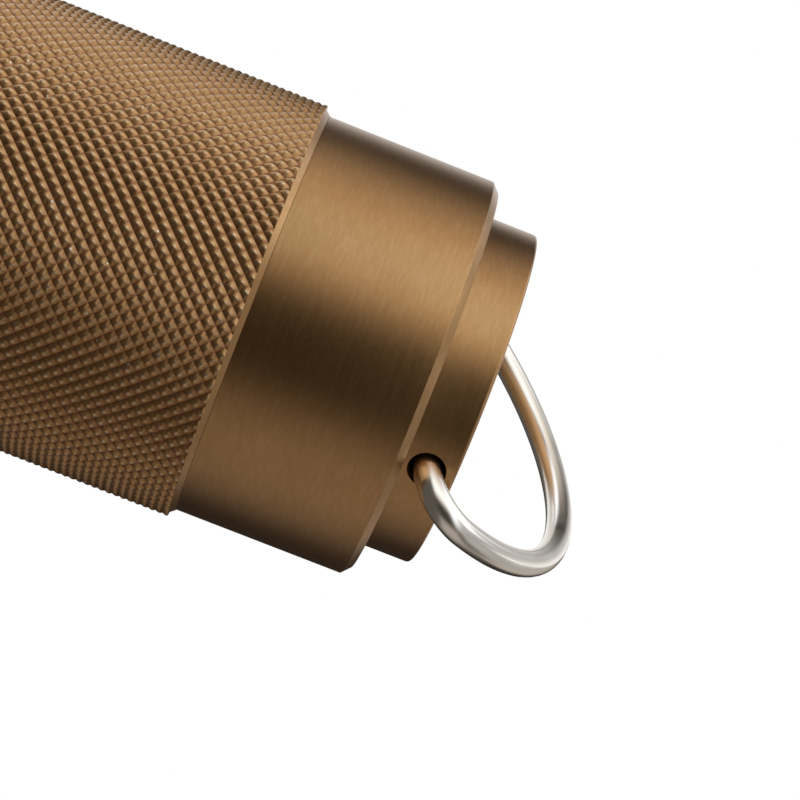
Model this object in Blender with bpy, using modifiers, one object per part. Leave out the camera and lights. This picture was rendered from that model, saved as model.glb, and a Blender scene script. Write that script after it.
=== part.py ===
"""Keychain flashlight, standing on its bezel with the tail and its key ring upwards.

A knurled tube holds one short lithium cell. A head with a twist switch screws on the
lower end of the tube, and a tail cap that carries a wire ring on the upper end.
Heights are measured from the bezel's front face, along the flashlight's axis, +Z.
"""

import math

import bmesh
import bpy
from mathutils import Matrix

MM = 0.001

# Roundness of the turned pieces
SHELL_SIDES = 36
INNER_SIDES = 24
HOLE_SIDES = 12
EDGE_POINTS = 3

# Outside of the tube and the tail cap
KNURL_RADIUS = 10.125 * MM
BAND_RADIUS = 9.70 * MM
STEP_RADIUS = 8.12 * MM
CHAMFER_RADIUS = 9.72 * MM
CHAMFER_LENGTH = 0.50 * MM
TUBE_FRONT = 24.30 * MM
TUBE_REAR = 51.15 * MM
CAP_MOUTH = 51.25 * MM
CAP_MOUTH_CHAMFER = 0.12 * MM
CAP_SHOULDER = 59.56 * MM
CAP_SHOULDER_CHAMFER = 0.39 * MM
CAP_END_ROUND = 0.20 * MM
TAIL_END = 62.00 * MM

# Screwed joints at both ends of the tube, measured from its shoulders outwards
TUBE_BORE_RADIUS = 8.00 * MM
SPIGOT_LENGTH = 4.30 * MM
COLLAR_RADIUS = 8.95 * MM
O_RING_GROOVE_RADIUS = 8.45 * MM
O_RING_GROOVE_START = 0.55 * MM
O_RING_GROOVE_END = 1.45 * MM
O_RING_WIRE_RADIUS = 0.27 * MM
O_RING_SINK = 0.03 * MM
LAND_END = 1.65 * MM
THREAD_ROOT_RADIUS = 8.55 * MM
THREAD_CREST_RADIUS = 8.95 * MM
THREAD_START = 1.85 * MM
THREAD_TURNS = 2.0
THREAD_PITCH = 1.00 * MM
THREAD_ROOT_WIDTH = 0.56 * MM
THREAD_CREST_WIDTH = 0.22 * MM
THREAD_BURY = 0.15 * MM
NUT_MINOR_RADIUS = 8.65 * MM
NUT_MAJOR_RADIUS = 9.05 * MM
NUT_FLANK_CLEARANCE = 0.11 * MM
NUT_EXTRA_TURNS = 0.5
NUT_COUNTERBORE_RADIUS = 9.10 * MM
NUT_COUNTERBORE_DEPTH = 1.70 * MM

# Tail cap inside, its cross-hole and the key ring
CAP_RELIEF_START = 55.40 * MM
CAP_RELIEF_RADIUS = 9.05 * MM
CAP_CEILING = 56.75 * MM
RING_HOLE_Z = 60.71 * MM
RING_HOLE_RADIUS = 0.80 * MM
RING_WIRE_RADIUS = 0.63 * MM
RING_ARC_RADIUS = 10.30 * MM
RING_ARC_CENTRE = -1.35 * MM
RING_BEND_RADIUS = 2.00 * MM
RING_END_GAP = 0.60 * MM
RING_SWING = math.radians(32)
RING_ARC_POINTS = 22
RING_BEND_POINTS = 8
RING_BEVEL_RESOLUTION = 2

# Tail contact and its coil spring
TAIL_CONTACT_RADIUS = 8.30 * MM
TAIL_CONTACT_BOTTOM = 56.00 * MM
TAIL_CONTACT_TOP = 56.45 * MM
TAIL_CONTACT_HOLE_RADIUS = 1.20 * MM
TAIL_SPRING_TOP = 55.60 * MM
TAIL_SPRING_BOTTOM = 49.45 * MM
TAIL_SPRING_TOP_RADIUS = 5.20 * MM
TAIL_SPRING_BOTTOM_RADIUS = 3.20 * MM
TAIL_SPRING_WIRE_RADIUS = 0.30 * MM
TAIL_SPRING_TURNS = 5.0

# Cell
CELL_BOTTOM = 23.05 * MM
CELL_TOP = 49.00 * MM
CELL_CAN_RADIUS = 7.55 * MM
CELL_CAN_CHAMFER = 0.50 * MM
CELL_SLEEVE_INNER_RADIUS = 7.60 * MM
CELL_SLEEVE_RADIUS = 7.80 * MM
CELL_SLEEVE_BOTTOM = 23.20 * MM
CELL_SLEEVE_TOP = 48.90 * MM
CELL_SEAL_INNER_RADIUS = 3.20 * MM
CELL_SEAL_RADIUS = 6.80 * MM
CELL_SEAL_BOTTOM = 22.60 * MM
CELL_END_TOP = 22.95 * MM
CELL_BUTTON_RADIUS = 2.90 * MM
CELL_BUTTON_BOTTOM = 22.00 * MM
CELL_BUTTON_CHAMFER = 0.25 * MM

# Head shell
HEAD_RADIUS = 10.50 * MM
HEAD_FRONT = 1.70 * MM
HEAD_REAR = 23.75 * MM
HEAD_CHAMFER = 0.50 * MM
HEAD_GROOVES = 3
HEAD_GROOVE_FIRST = 9.00 * MM
HEAD_GROOVE_WIDTH = 1.20 * MM
HEAD_GROOVE_PITCH = 2.40 * MM
HEAD_GROOVE_DEPTH = 0.70 * MM
BEZEL_BORE_RADIUS = 9.50 * MM
BEZEL_BORE_END = 5.40 * MM
HEAD_BORE_RADIUS = 8.85 * MM
LEDGE_RADIUS = 8.00 * MM
LEDGE_FRONT = 10.90 * MM
LEDGE_REAR = 12.20 * MM
HEAD_RELIEF_START = 19.00 * MM
HEAD_RELIEF_END = 20.20 * MM

# Bezel, lens and gasket
BEZEL_RADIUS = 10.10 * MM
BEZEL_APERTURE_RADIUS = 7.40 * MM
BEZEL_LIP = 1.40 * MM
BEZEL_CHAMFER = 0.50 * MM
BEZEL_SKIRT_INNER_RADIUS = 8.75 * MM
BEZEL_SKIRT_RADIUS = 9.35 * MM
BEZEL_SKIRT_END = 5.00 * MM
GASKET_RADIUS = 8.05 * MM
GASKET_WIRE_RADIUS = 0.33 * MM
GASKET_Z = 1.78 * MM
LENS_RADIUS = 8.50 * MM
LENS_FRONT = 2.20 * MM
LENS_REAR = 3.60 * MM
LENS_BEVEL = 0.15 * MM

# Reflector, a paraboloid with the emitter near its focus
REFLECTOR_FRONT = 3.65 * MM
REFLECTOR_REAR = 9.90 * MM
REFLECTOR_FLANGE_END = 4.50 * MM
REFLECTOR_FLANGE_RADIUS = 8.50 * MM
REFLECTOR_MOUTH_RADIUS = 7.70 * MM
REFLECTOR_NECK_RADIUS = 2.50 * MM
REFLECTOR_WALL = 0.90 * MM
REFLECTOR_STEPS = 6

# Emitter and its board
LED_BOARD_RADIUS = 7.50 * MM
LED_BOARD_FRONT = 11.00 * MM
LED_BOARD_REAR = 12.20 * MM
LED_SIDE = 3.45 * MM
LED_FRONT = 10.30 * MM
LED_REAR = 10.90 * MM
LED_BEVEL = 0.10 * MM
LED_DOME_RADIUS = 1.40 * MM
LED_DOME_BASE = 10.20 * MM
LED_DOME_STEPS = 5
LED_SPACER_INNER_RADIUS = 2.65 * MM
LED_SPACER_RADIUS = 3.50 * MM
LED_SPACER_FRONT = 10.00 * MM
LED_SPACER_REAR = 10.85 * MM

# Pill, a metal cup that carries the board in front and the driver inside
PILL_RADIUS = 8.60 * MM
PILL_BORE_RADIUS = 7.60 * MM
PILL_FRONT = 12.50 * MM
PILL_FLOOR = 14.30 * MM
PILL_RIM = 19.62 * MM

# Leads from the driver to the emitter board
LEAD_OFFSET = 4.60 * MM
LEAD_HOLE_RADIUS = 0.72 * MM
LEAD_RADIUS = 0.28 * MM
LEAD_REAR = 16.85 * MM
LEAD_BEND = 11.25 * MM
LEAD_PAD_Z = 10.60 * MM
LEAD_PAD_END = 6.20 * MM
LEAD_BEND_POINTS = 5
LEAD_BEVEL_RESOLUTION = 1

# Driver
DRIVER_RADIUS = 7.30 * MM
DRIVER_FRONT = 17.20 * MM
DRIVER_REAR = 18.20 * MM
COMPONENT_TOP = 16.90 * MM
COMPONENT_BEVEL = 0.12 * MM
INDUCTOR_SIZE = (4.00 * MM, 4.00 * MM, 2.00 * MM)
INDUCTOR_Y = 3.00 * MM
CHIP_SIZE = (3.00 * MM, 3.00 * MM, 0.90 * MM)
CHIP_Y = -3.40 * MM
CAPACITOR_SIZE = (2.00 * MM, 1.25 * MM, 1.00 * MM)
CAPACITOR_Y = -0.40 * MM
RETAINER_INNER_RADIUS = 5.60 * MM
RETAINER_RADIUS = 7.40 * MM
RETAINER_FRONT = 18.50 * MM
RETAINER_REAR = 19.20 * MM
RETAINER_NOTCH = 1.40 * MM
CONTACT_SPRING_BOTTOM = 18.60 * MM
CONTACT_SPRING_TOP = 21.50 * MM
CONTACT_SPRING_BOTTOM_RADIUS = 2.40 * MM
CONTACT_SPRING_TOP_RADIUS = 1.40 * MM
CONTACT_SPRING_WIRE_RADIUS = 0.25 * MM
CONTACT_SPRING_TURNS = 3.0
FOAM_INNER_RADIUS = 3.40 * MM
FOAM_RADIUS = 6.60 * MM
FOAM_FRONT = 19.50 * MM
FOAM_REAR = 21.80 * MM

# Coils of wire
COIL_POINTS_PER_TURN = 10
COIL_BEVEL_RESOLUTION = 1
LEAST_COIL_GAP = 0.40 * MM

MERGE = 0.000005
CUTTER_OVERRUN = 1.00 * MM
EMPTY_SIZE = 5.00 * MM


def clear_scene():
    for old in list(bpy.data.objects):
        bpy.data.objects.remove(old, do_unlink=True)


def new_collection(name):
    collection = bpy.data.collections.new(name)
    bpy.context.scene.collection.children.link(collection)
    return collection


def material(name, color, roughness, metallic):
    made = bpy.data.materials.new(name)
    made.use_nodes = True
    shader = made.node_tree.nodes["Principled BSDF"]
    shader.inputs["Base Color"].default_value = (*color, 1.0)
    shader.inputs["Roughness"].default_value = roughness
    shader.inputs["Metallic"].default_value = metallic
    made.diffuse_color = (*color, 1.0)
    return made


clear_scene()
PARTS = new_collection("keychain_flashlight")
CUTTERS = new_collection("cutters")

BRONZE = ("anodised bronze", (0.30, 0.19, 0.10), 0.35, 1.0)
STEEL = ("polished steel", (0.72, 0.70, 0.67), 0.12, 1.0)
BRASS = ("brass", (0.72, 0.52, 0.22), 0.30, 1.0)
SPRING_STEEL = ("plated spring steel", (0.78, 0.70, 0.48), 0.25, 1.0)
RUBBER = ("black rubber", (0.03, 0.03, 0.03), 0.70, 0.0)
CAN_STEEL = ("nickel plated can", (0.66, 0.66, 0.64), 0.30, 1.0)
SLEEVE_FILM = ("plain cell sleeve", (0.10, 0.16, 0.28), 0.40, 0.0)
PAPER = ("insulating paper", (0.80, 0.78, 0.70), 0.80, 0.0)
GLASS = ("clear glass", (0.90, 0.95, 0.95), 0.03, 0.0)
CHROME = ("vacuum metallised", (0.90, 0.90, 0.90), 0.05, 1.0)
NYLON = ("white nylon", (0.85, 0.85, 0.82), 0.50, 0.0)
CERAMIC = ("white ceramic", (0.88, 0.88, 0.84), 0.45, 0.0)
PHOSPHOR = ("silicone over phosphor", (0.90, 0.75, 0.20), 0.10, 0.0)
BOARD_WHITE = ("white board", (0.85, 0.86, 0.85), 0.45, 0.0)
BOARD_GREEN = ("green board", (0.05, 0.22, 0.10), 0.40, 0.0)
FERRITE = ("ferrite", (0.12, 0.12, 0.13), 0.60, 0.0)
EPOXY = ("black epoxy", (0.04, 0.04, 0.04), 0.50, 0.0)
TAN_CERAMIC = ("tan ceramic", (0.55, 0.42, 0.28), 0.50, 0.0)
RED_SILICONE = ("red silicone", (0.60, 0.05, 0.04), 0.50, 0.0)
BLACK_SILICONE = ("black silicone", (0.04, 0.04, 0.05), 0.50, 0.0)
FOAM = ("grey foam", (0.20, 0.20, 0.21), 0.95, 0.0)


def axis_empty(name, height):
    """An empty on the flashlight's axis that carries the pieces that turn together."""
    empty = bpy.data.objects.new(name, None)
    empty.location = (0.0, 0.0, height)
    empty.empty_display_size = EMPTY_SIZE
    PARTS.objects.link(empty)
    return empty


TUBE_AXIS = axis_empty("tube_axis", 0.0)
TAIL_AXIS = axis_empty("tail_axis", 0.0)
HEAD_AXIS = axis_empty("head_axis", 0.0)


def add_part(piece, look, parent):
    piece.data.materials.append(material(piece.name + " " + look[0], *look[1:]))
    piece.parent = parent
    PARTS.objects.link(piece)
    return piece


def as_cutter(piece):
    piece.hide_render = True
    piece.display_type = "WIRE"
    CUTTERS.objects.link(piece)
    return piece


def mesh_object(name, bm):
    mesh = bpy.data.meshes.new(name)
    bm.to_mesh(mesh)
    bm.free()
    return bpy.data.objects.new(name, mesh)


def turned(name, profile, sides=INNER_SIDES):
    """A piece turned from (radius, height) points that run down its outer side.

    A profile that touches the axis at both ends stays open there; any other is closed.
    """
    bm = bmesh.new()
    corners = [bm.verts.new((radius, 0.0, height)) for radius, height in profile]
    for first, second in zip(corners, corners[1:]):
        bm.edges.new((first, second))
    if profile[0][0] > 0:
        bm.edges.new((corners[-1], corners[0]))
    piece = mesh_object(name, bm)
    screw = piece.modifiers.new("Turn", "SCREW")
    screw.axis = "Z"
    screw.angle = 2 * math.pi
    screw.steps = sides
    screw.render_steps = sides
    screw.use_merge_vertices = True
    screw.merge_threshold = MERGE
    screw.use_smooth_shade = True
    return piece


def ring(name, inner, outer, bottom, top, sides=INNER_SIDES):
    """A plain flat ring."""
    return turned(name, [(inner, top), (outer, top), (outer, bottom), (inner, bottom)], sides)


def disc(name, radius, bottom, top, sides=INNER_SIDES):
    """A plain disc."""
    return turned(name, [(0.0, top), (radius, top), (radius, bottom), (0.0, bottom)], sides)


def torus(name, radius, wire_radius, height, sides=INNER_SIDES, wire_sides=8):
    """A round rubber ring, turned from a circle of section."""
    section = []
    for step in range(wire_sides):
        angle = -2 * math.pi * step / wire_sides
        section.append((radius + wire_radius * math.cos(angle), height + wire_radius * math.sin(angle)))
    return turned(name, section, sides)


def block(name, size, centre, bevel):
    """A box with slightly broken edges."""
    bm = bmesh.new()
    bmesh.ops.create_cube(bm, size=1.0)
    bmesh.ops.scale(bm, vec=size, verts=bm.verts)
    piece = mesh_object(name, bm)
    piece.location = centre
    if bevel:
        edge = piece.modifiers.new("Broken edges", "BEVEL")
        edge.width = bevel
        edge.segments = 1
    return piece


def rod_cutter(name, radius, start, end, x=0.0, y=0.0, along="Z"):
    """A round cutter along Z, or along Y where it bores across the axis at height y."""
    bm = bmesh.new()
    bmesh.ops.create_cone(
        bm, cap_ends=True, segments=HOLE_SIDES, radius1=radius, radius2=radius, depth=end - start
    )
    piece = mesh_object(name, bm)
    if along == "Z":
        piece.location = (x, y, (start + end) / 2)
    else:
        piece.location = (x, (start + end) / 2, y)
        piece.rotation_euler = (math.pi / 2, 0.0, 0.0)
    return as_cutter(piece)


def boolean(target, other, operation):
    change = target.modifiers.new(operation.title(), "BOOLEAN")
    change.operation = operation
    change.solver = "EXACT"
    change.object = other


def wire(name, points, wire_radius, bevel_resolution):
    """A round wire along a chain of points, with closed ends."""
    curve = bpy.data.curves.new(name, "CURVE")
    curve.dimensions = "3D"
    curve.bevel_depth = wire_radius
    curve.bevel_resolution = bevel_resolution
    curve.use_fill_caps = True
    spline = curve.splines.new("POLY")
    spline.points.add(len(points) - 1)
    for point, place in zip(spline.points, points):
        point.co = (*place, 1.0)
    return bpy.data.objects.new(name, curve)


def arc(centre, radius, start, end, points):
    """Points on a circle arc, both ends included, as (across, along) pairs."""
    made = []
    for step in range(points + 1):
        angle = start + (end - start) * step / points
        made.append((centre[0] + radius * math.cos(angle), centre[1] + radius * math.sin(angle)))
    return made


def thread_helix(name, start, turns, inner, outer, inner_width, outer_width):
    """A right-hand helical ridge of trapezium section, swept up from height start.

    Its angle is zero at every whole pitch from height zero, so ridge and groove mesh.
    """
    steps = round(turns * SHELL_SIDES)
    phase = 2 * math.pi * start / THREAD_PITCH
    bm = bmesh.new()
    section = [
        (inner, -inner_width / 2),
        (outer, -outer_width / 2),
        (outer, outer_width / 2),
        (inner, inner_width / 2),
    ]
    corners = [bm.verts.new((radius, 0.0, start + height)) for radius, height in section]
    face = bm.faces.new(corners)
    bmesh.ops.rotate(bm, verts=corners, cent=(0, 0, 0), matrix=Matrix.Rotation(phase, 3, "Z"))
    bmesh.ops.spin(
        bm,
        geom=[face, *face.edges, *corners],
        axis=(0, 0, 1),
        cent=(0, 0, 0),
        dvec=(0, 0, THREAD_PITCH / SHELL_SIDES),
        angle=2 * math.pi * turns,
        steps=steps,
    )
    bmesh.ops.recalc_face_normals(bm, faces=bm.faces)
    return as_cutter(mesh_object(name, bm))


def male_thread(name, start):
    return thread_helix(
        name,
        start,
        THREAD_TURNS,
        THREAD_ROOT_RADIUS - THREAD_BURY,
        THREAD_CREST_RADIUS,
        THREAD_ROOT_WIDTH,
        THREAD_CREST_WIDTH,
    )


def nut_thread(name, start):
    return thread_helix(
        name,
        start - NUT_EXTRA_TURNS * THREAD_PITCH,
        THREAD_TURNS + 2 * NUT_EXTRA_TURNS,
        NUT_MINOR_RADIUS - THREAD_BURY,
        NUT_MAJOR_RADIUS,
        THREAD_ROOT_WIDTH + 2 * NUT_FLANK_CLEARANCE,
        THREAD_CREST_WIDTH + 2 * NUT_FLANK_CLEARANCE,
    )


THREAD_LENGTH = THREAD_TURNS * THREAD_PITCH
REAR_THREAD_BOTTOM = TUBE_REAR + THREAD_START
FRONT_THREAD_BOTTOM = TUBE_FRONT - THREAD_START - THREAD_LENGTH


def spigot_profile(shoulder, outward):
    """Outer side of a screwed spigot, from its shoulder out to its end."""
    return [
        (COLLAR_RADIUS, shoulder),
        (COLLAR_RADIUS, shoulder + outward * O_RING_GROOVE_START),
        (O_RING_GROOVE_RADIUS, shoulder + outward * O_RING_GROOVE_START),
        (O_RING_GROOVE_RADIUS, shoulder + outward * O_RING_GROOVE_END),
        (COLLAR_RADIUS, shoulder + outward * O_RING_GROOVE_END),
        (COLLAR_RADIUS, shoulder + outward * LAND_END),
        (THREAD_ROOT_RADIUS, shoulder + outward * LAND_END),
        (THREAD_ROOT_RADIUS, shoulder + outward * SPIGOT_LENGTH),
        (TUBE_BORE_RADIUS, shoulder + outward * SPIGOT_LENGTH),
    ]


def make_body_tube():
    rear = spigot_profile(TUBE_REAR, 1)
    front = spigot_profile(TUBE_FRONT, -1)
    barrel = [
        (CHAMFER_RADIUS, TUBE_REAR),
        (KNURL_RADIUS, TUBE_REAR - CHAMFER_LENGTH),
        (KNURL_RADIUS, TUBE_FRONT + CHAMFER_LENGTH),
        (CHAMFER_RADIUS, TUBE_FRONT),
    ]
    tube = turned("body_tube", rear[::-1] + barrel + front, SHELL_SIDES)
    boolean(tube, male_thread("rear_thread", REAR_THREAD_BOTTOM), "UNION")
    boolean(tube, male_thread("front_thread", FRONT_THREAD_BOTTOM), "UNION")
    add_part(tube, BRONZE, TUBE_AXIS)


def make_o_rings():
    middle = (O_RING_GROOVE_START + O_RING_GROOVE_END) / 2
    section_radius = (O_RING_GROOVE_RADIUS + NUT_COUNTERBORE_RADIUS) / 2 - O_RING_SINK
    heights = {"tail_o_ring": TUBE_REAR + middle, "head_o_ring": TUBE_FRONT - middle}
    for name, height in heights.items():
        seal = torus(name, section_radius, O_RING_WIRE_RADIUS, height, SHELL_SIDES)
        add_part(seal, RUBBER, TUBE_AXIS)


def make_cell():
    can = [
        (0.0, CELL_TOP),
        (CELL_CAN_RADIUS - CELL_CAN_CHAMFER, CELL_TOP),
        (CELL_CAN_RADIUS, CELL_TOP - CELL_CAN_CHAMFER),
        (CELL_CAN_RADIUS, CELL_BOTTOM + CELL_CAN_CHAMFER),
        (CELL_CAN_RADIUS - CELL_CAN_CHAMFER, CELL_BOTTOM),
        (0.0, CELL_BOTTOM),
    ]
    add_part(turned("cell_can", can), CAN_STEEL, TUBE_AXIS)
    sleeve = ring(
        "cell_sleeve", CELL_SLEEVE_INNER_RADIUS, CELL_SLEEVE_RADIUS, CELL_SLEEVE_BOTTOM, CELL_SLEEVE_TOP
    )
    add_part(sleeve, SLEEVE_FILM, TUBE_AXIS)
    seal = ring("cell_seal", CELL_SEAL_INNER_RADIUS, CELL_SEAL_RADIUS, CELL_SEAL_BOTTOM, CELL_END_TOP)
    add_part(seal, PAPER, TUBE_AXIS)
    button = [
        (0.0, CELL_END_TOP),
        (CELL_BUTTON_RADIUS, CELL_END_TOP),
        (CELL_BUTTON_RADIUS, CELL_BUTTON_BOTTOM + CELL_BUTTON_CHAMFER),
        (CELL_BUTTON_RADIUS - CELL_BUTTON_CHAMFER, CELL_BUTTON_BOTTOM),
        (0.0, CELL_BUTTON_BOTTOM),
    ]
    add_part(turned("cell_button", button), CAN_STEEL, TUBE_AXIS)


def make_tail_cap():
    end = arc(
        (STEP_RADIUS - CAP_END_ROUND, TAIL_END - CAP_END_ROUND), CAP_END_ROUND, math.pi / 2, 0.0, EDGE_POINTS
    )
    counterbore_end = CAP_MOUTH + NUT_COUNTERBORE_DEPTH
    outside = [
        (0.0, TAIL_END),
        *end,
        (STEP_RADIUS, CAP_SHOULDER),
        (BAND_RADIUS - CAP_SHOULDER_CHAMFER, CAP_SHOULDER),
        (BAND_RADIUS, CAP_SHOULDER - CAP_SHOULDER_CHAMFER),
        (BAND_RADIUS, CAP_MOUTH + CAP_MOUTH_CHAMFER),
        (BAND_RADIUS - CAP_MOUTH_CHAMFER, CAP_MOUTH),
    ]
    inside = [
        (NUT_COUNTERBORE_RADIUS, CAP_MOUTH),
        (NUT_COUNTERBORE_RADIUS, counterbore_end),
        (NUT_MINOR_RADIUS, counterbore_end),
        (NUT_MINOR_RADIUS, CAP_RELIEF_START),
        (CAP_RELIEF_RADIUS, CAP_RELIEF_START),
        (CAP_RELIEF_RADIUS, CAP_CEILING),
        (0.0, CAP_CEILING),
    ]
    cap = turned("tail_cap", outside + inside, SHELL_SIDES)
    boolean(cap, nut_thread("tail_nut_thread", REAR_THREAD_BOTTOM), "DIFFERENCE")
    reach = STEP_RADIUS + CUTTER_OVERRUN
    hole = rod_cutter("ring_hole", RING_HOLE_RADIUS, -reach, reach, y=RING_HOLE_Z, along="Y")
    boolean(cap, hole, "DIFFERENCE")
    add_part(cap, BRONZE, TAIL_AXIS)


def ring_path():
    """Half of the bail in its own plane, as (across, reach) pairs, from hole to crown."""
    bend_across = math.sqrt(
        (RING_ARC_RADIUS - RING_BEND_RADIUS) ** 2 - (RING_BEND_RADIUS - RING_ARC_CENTRE) ** 2
    )
    tangent = math.atan2(RING_BEND_RADIUS - RING_ARC_CENTRE, bend_across)
    bend = arc(
        (bend_across, RING_BEND_RADIUS), RING_BEND_RADIUS, -math.pi / 2, tangent, RING_BEND_POINTS
    )
    crown = arc(
        (0.0, RING_ARC_CENTRE), RING_ARC_RADIUS, tangent, math.pi / 2, RING_ARC_POINTS // 2
    )
    return [(RING_END_GAP / 2, 0.0), *bend, *crown[1:]]


def make_key_ring():
    half = ring_path()
    other_half = [(-across, reach) for across, reach in half[-2::-1]]
    points = [(0.0, across, reach) for across, reach in half + other_half]
    bail = wire("key_ring", points, RING_WIRE_RADIUS, RING_BEVEL_RESOLUTION)
    bail.location = (0.0, 0.0, RING_HOLE_Z)
    bail.rotation_euler = (0.0, RING_SWING, 0.0)
    add_part(bail, STEEL, TAIL_AXIS)


def coil(name, bottom, top, bottom_radius, top_radius, wire_radius, turns):
    """A conical coil spring, as one unbroken wire, whose least gap to itself is printed."""
    steps = round(turns * COIL_POINTS_PER_TURN)
    points = []
    for step in range(steps + 1):
        share = step / steps
        angle = 2 * math.pi * turns * share
        radius = bottom_radius + (top_radius - bottom_radius) * share
        height = bottom + (top - bottom) * share
        points.append((radius * math.cos(angle), radius * math.sin(angle), height))
    apart = COIL_POINTS_PER_TURN // 2
    gap = min(
        math.dist(points[i], points[j]) - 2 * wire_radius
        for i in range(len(points))
        for j in range(i + apart, len(points))
    )
    print(f"{name}: least gap between turns {gap / MM:.2f} mm")
    if gap < LEAST_COIL_GAP:
        raise ValueError(f"{name}: its turns are too close")
    return wire(name, points, wire_radius, COIL_BEVEL_RESOLUTION)


def make_tail_contact():
    plate = ring(
        "tail_contact",
        TAIL_CONTACT_HOLE_RADIUS,
        TAIL_CONTACT_RADIUS,
        TAIL_CONTACT_BOTTOM,
        TAIL_CONTACT_TOP,
    )
    add_part(plate, BRASS, TAIL_AXIS)
    spring = coil(
        "tail_spring",
        TAIL_SPRING_BOTTOM,
        TAIL_SPRING_TOP,
        TAIL_SPRING_BOTTOM_RADIUS,
        TAIL_SPRING_TOP_RADIUS,
        TAIL_SPRING_WIRE_RADIUS,
        TAIL_SPRING_TURNS,
    )
    add_part(spring, SPRING_STEEL, TAIL_AXIS)


def head_groove_profile():
    """Outer side of the head's grooves, from the rearmost down to the first."""
    bottom_radius = HEAD_RADIUS - HEAD_GROOVE_DEPTH
    profile = []
    for number in reversed(range(HEAD_GROOVES)):
        low = HEAD_GROOVE_FIRST + number * HEAD_GROOVE_PITCH
        high = low + HEAD_GROOVE_WIDTH
        profile += [(HEAD_RADIUS, high), (bottom_radius, high), (bottom_radius, low), (HEAD_RADIUS, low)]
    return profile


def make_head_shell():
    counterbore_end = HEAD_REAR - NUT_COUNTERBORE_DEPTH
    outside = [
        (HEAD_RADIUS - HEAD_CHAMFER, HEAD_REAR),
        (HEAD_RADIUS, HEAD_REAR - HEAD_CHAMFER),
        *head_groove_profile(),
        (HEAD_RADIUS, HEAD_FRONT + HEAD_CHAMFER),
        (HEAD_RADIUS - HEAD_CHAMFER, HEAD_FRONT),
    ]
    inside = [
        (BEZEL_BORE_RADIUS, HEAD_FRONT),
        (BEZEL_BORE_RADIUS, BEZEL_BORE_END),
        (HEAD_BORE_RADIUS, BEZEL_BORE_END),
        (HEAD_BORE_RADIUS, LEDGE_FRONT),
        (LEDGE_RADIUS, LEDGE_FRONT),
        (LEDGE_RADIUS, LEDGE_REAR),
        (HEAD_BORE_RADIUS, LEDGE_REAR),
        (HEAD_BORE_RADIUS, HEAD_RELIEF_START),
        (NUT_COUNTERBORE_RADIUS, HEAD_RELIEF_START),
        (NUT_COUNTERBORE_RADIUS, HEAD_RELIEF_END),
        (NUT_MINOR_RADIUS, HEAD_RELIEF_END),
        (NUT_MINOR_RADIUS, counterbore_end),
        (NUT_COUNTERBORE_RADIUS, counterbore_end),
        (NUT_COUNTERBORE_RADIUS, HEAD_REAR),
    ]
    shell = turned("head_shell", outside + inside, SHELL_SIDES)
    boolean(shell, nut_thread("head_nut_thread", FRONT_THREAD_BOTTOM), "DIFFERENCE")
    add_part(shell, BRONZE, HEAD_AXIS)


def make_bezel():
    profile = [
        (BEZEL_SKIRT_INNER_RADIUS, BEZEL_SKIRT_END),
        (BEZEL_SKIRT_RADIUS, BEZEL_SKIRT_END),
        (BEZEL_SKIRT_RADIUS, BEZEL_LIP),
        (BEZEL_RADIUS, BEZEL_LIP),
        (BEZEL_RADIUS, BEZEL_CHAMFER),
        (BEZEL_RADIUS - BEZEL_CHAMFER, 0.0),
        (BEZEL_APERTURE_RADIUS + BEZEL_CHAMFER, 0.0),
        (BEZEL_APERTURE_RADIUS, BEZEL_CHAMFER),
        (BEZEL_APERTURE_RADIUS, BEZEL_LIP),
        (BEZEL_SKIRT_INNER_RADIUS, BEZEL_LIP),
    ]
    add_part(turned("bezel_ring", profile, SHELL_SIDES), BRONZE, HEAD_AXIS)
    add_part(torus("lens_gasket", GASKET_RADIUS, GASKET_WIRE_RADIUS, GASKET_Z), RUBBER, HEAD_AXIS)
    lens = [
        (0.0, LENS_REAR),
        (LENS_RADIUS - LENS_BEVEL, LENS_REAR),
        (LENS_RADIUS, LENS_REAR - LENS_BEVEL),
        (LENS_RADIUS, LENS_FRONT + LENS_BEVEL),
        (LENS_RADIUS - LENS_BEVEL, LENS_FRONT),
        (0.0, LENS_FRONT),
    ]
    add_part(turned("front_lens", lens), GLASS, HEAD_AXIS)


def make_reflector():
    span = REFLECTOR_REAR - REFLECTOR_FRONT
    slope = (REFLECTOR_MOUTH_RADIUS**2 - REFLECTOR_NECK_RADIUS**2) / span
    vertex = REFLECTOR_REAR + REFLECTOR_NECK_RADIUS**2 / slope

    def bowl(height):
        return math.sqrt(slope * (vertex - height))

    back = []
    for step in range(REFLECTOR_STEPS + 1):
        height = REFLECTOR_REAR - (REFLECTOR_REAR - REFLECTOR_FLANGE_END) * step / REFLECTOR_STEPS
        back.append((bowl(height) + REFLECTOR_WALL, height))
    flange = [
        (REFLECTOR_FLANGE_RADIUS, REFLECTOR_FLANGE_END),
        (REFLECTOR_FLANGE_RADIUS, REFLECTOR_FRONT),
    ]
    front = []
    for step in range(REFLECTOR_STEPS + 1):
        height = REFLECTOR_FRONT + span * step / REFLECTOR_STEPS
        front.append((bowl(height), height))
    add_part(turned("reflector", back + flange + front), CHROME, HEAD_AXIS)


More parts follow.
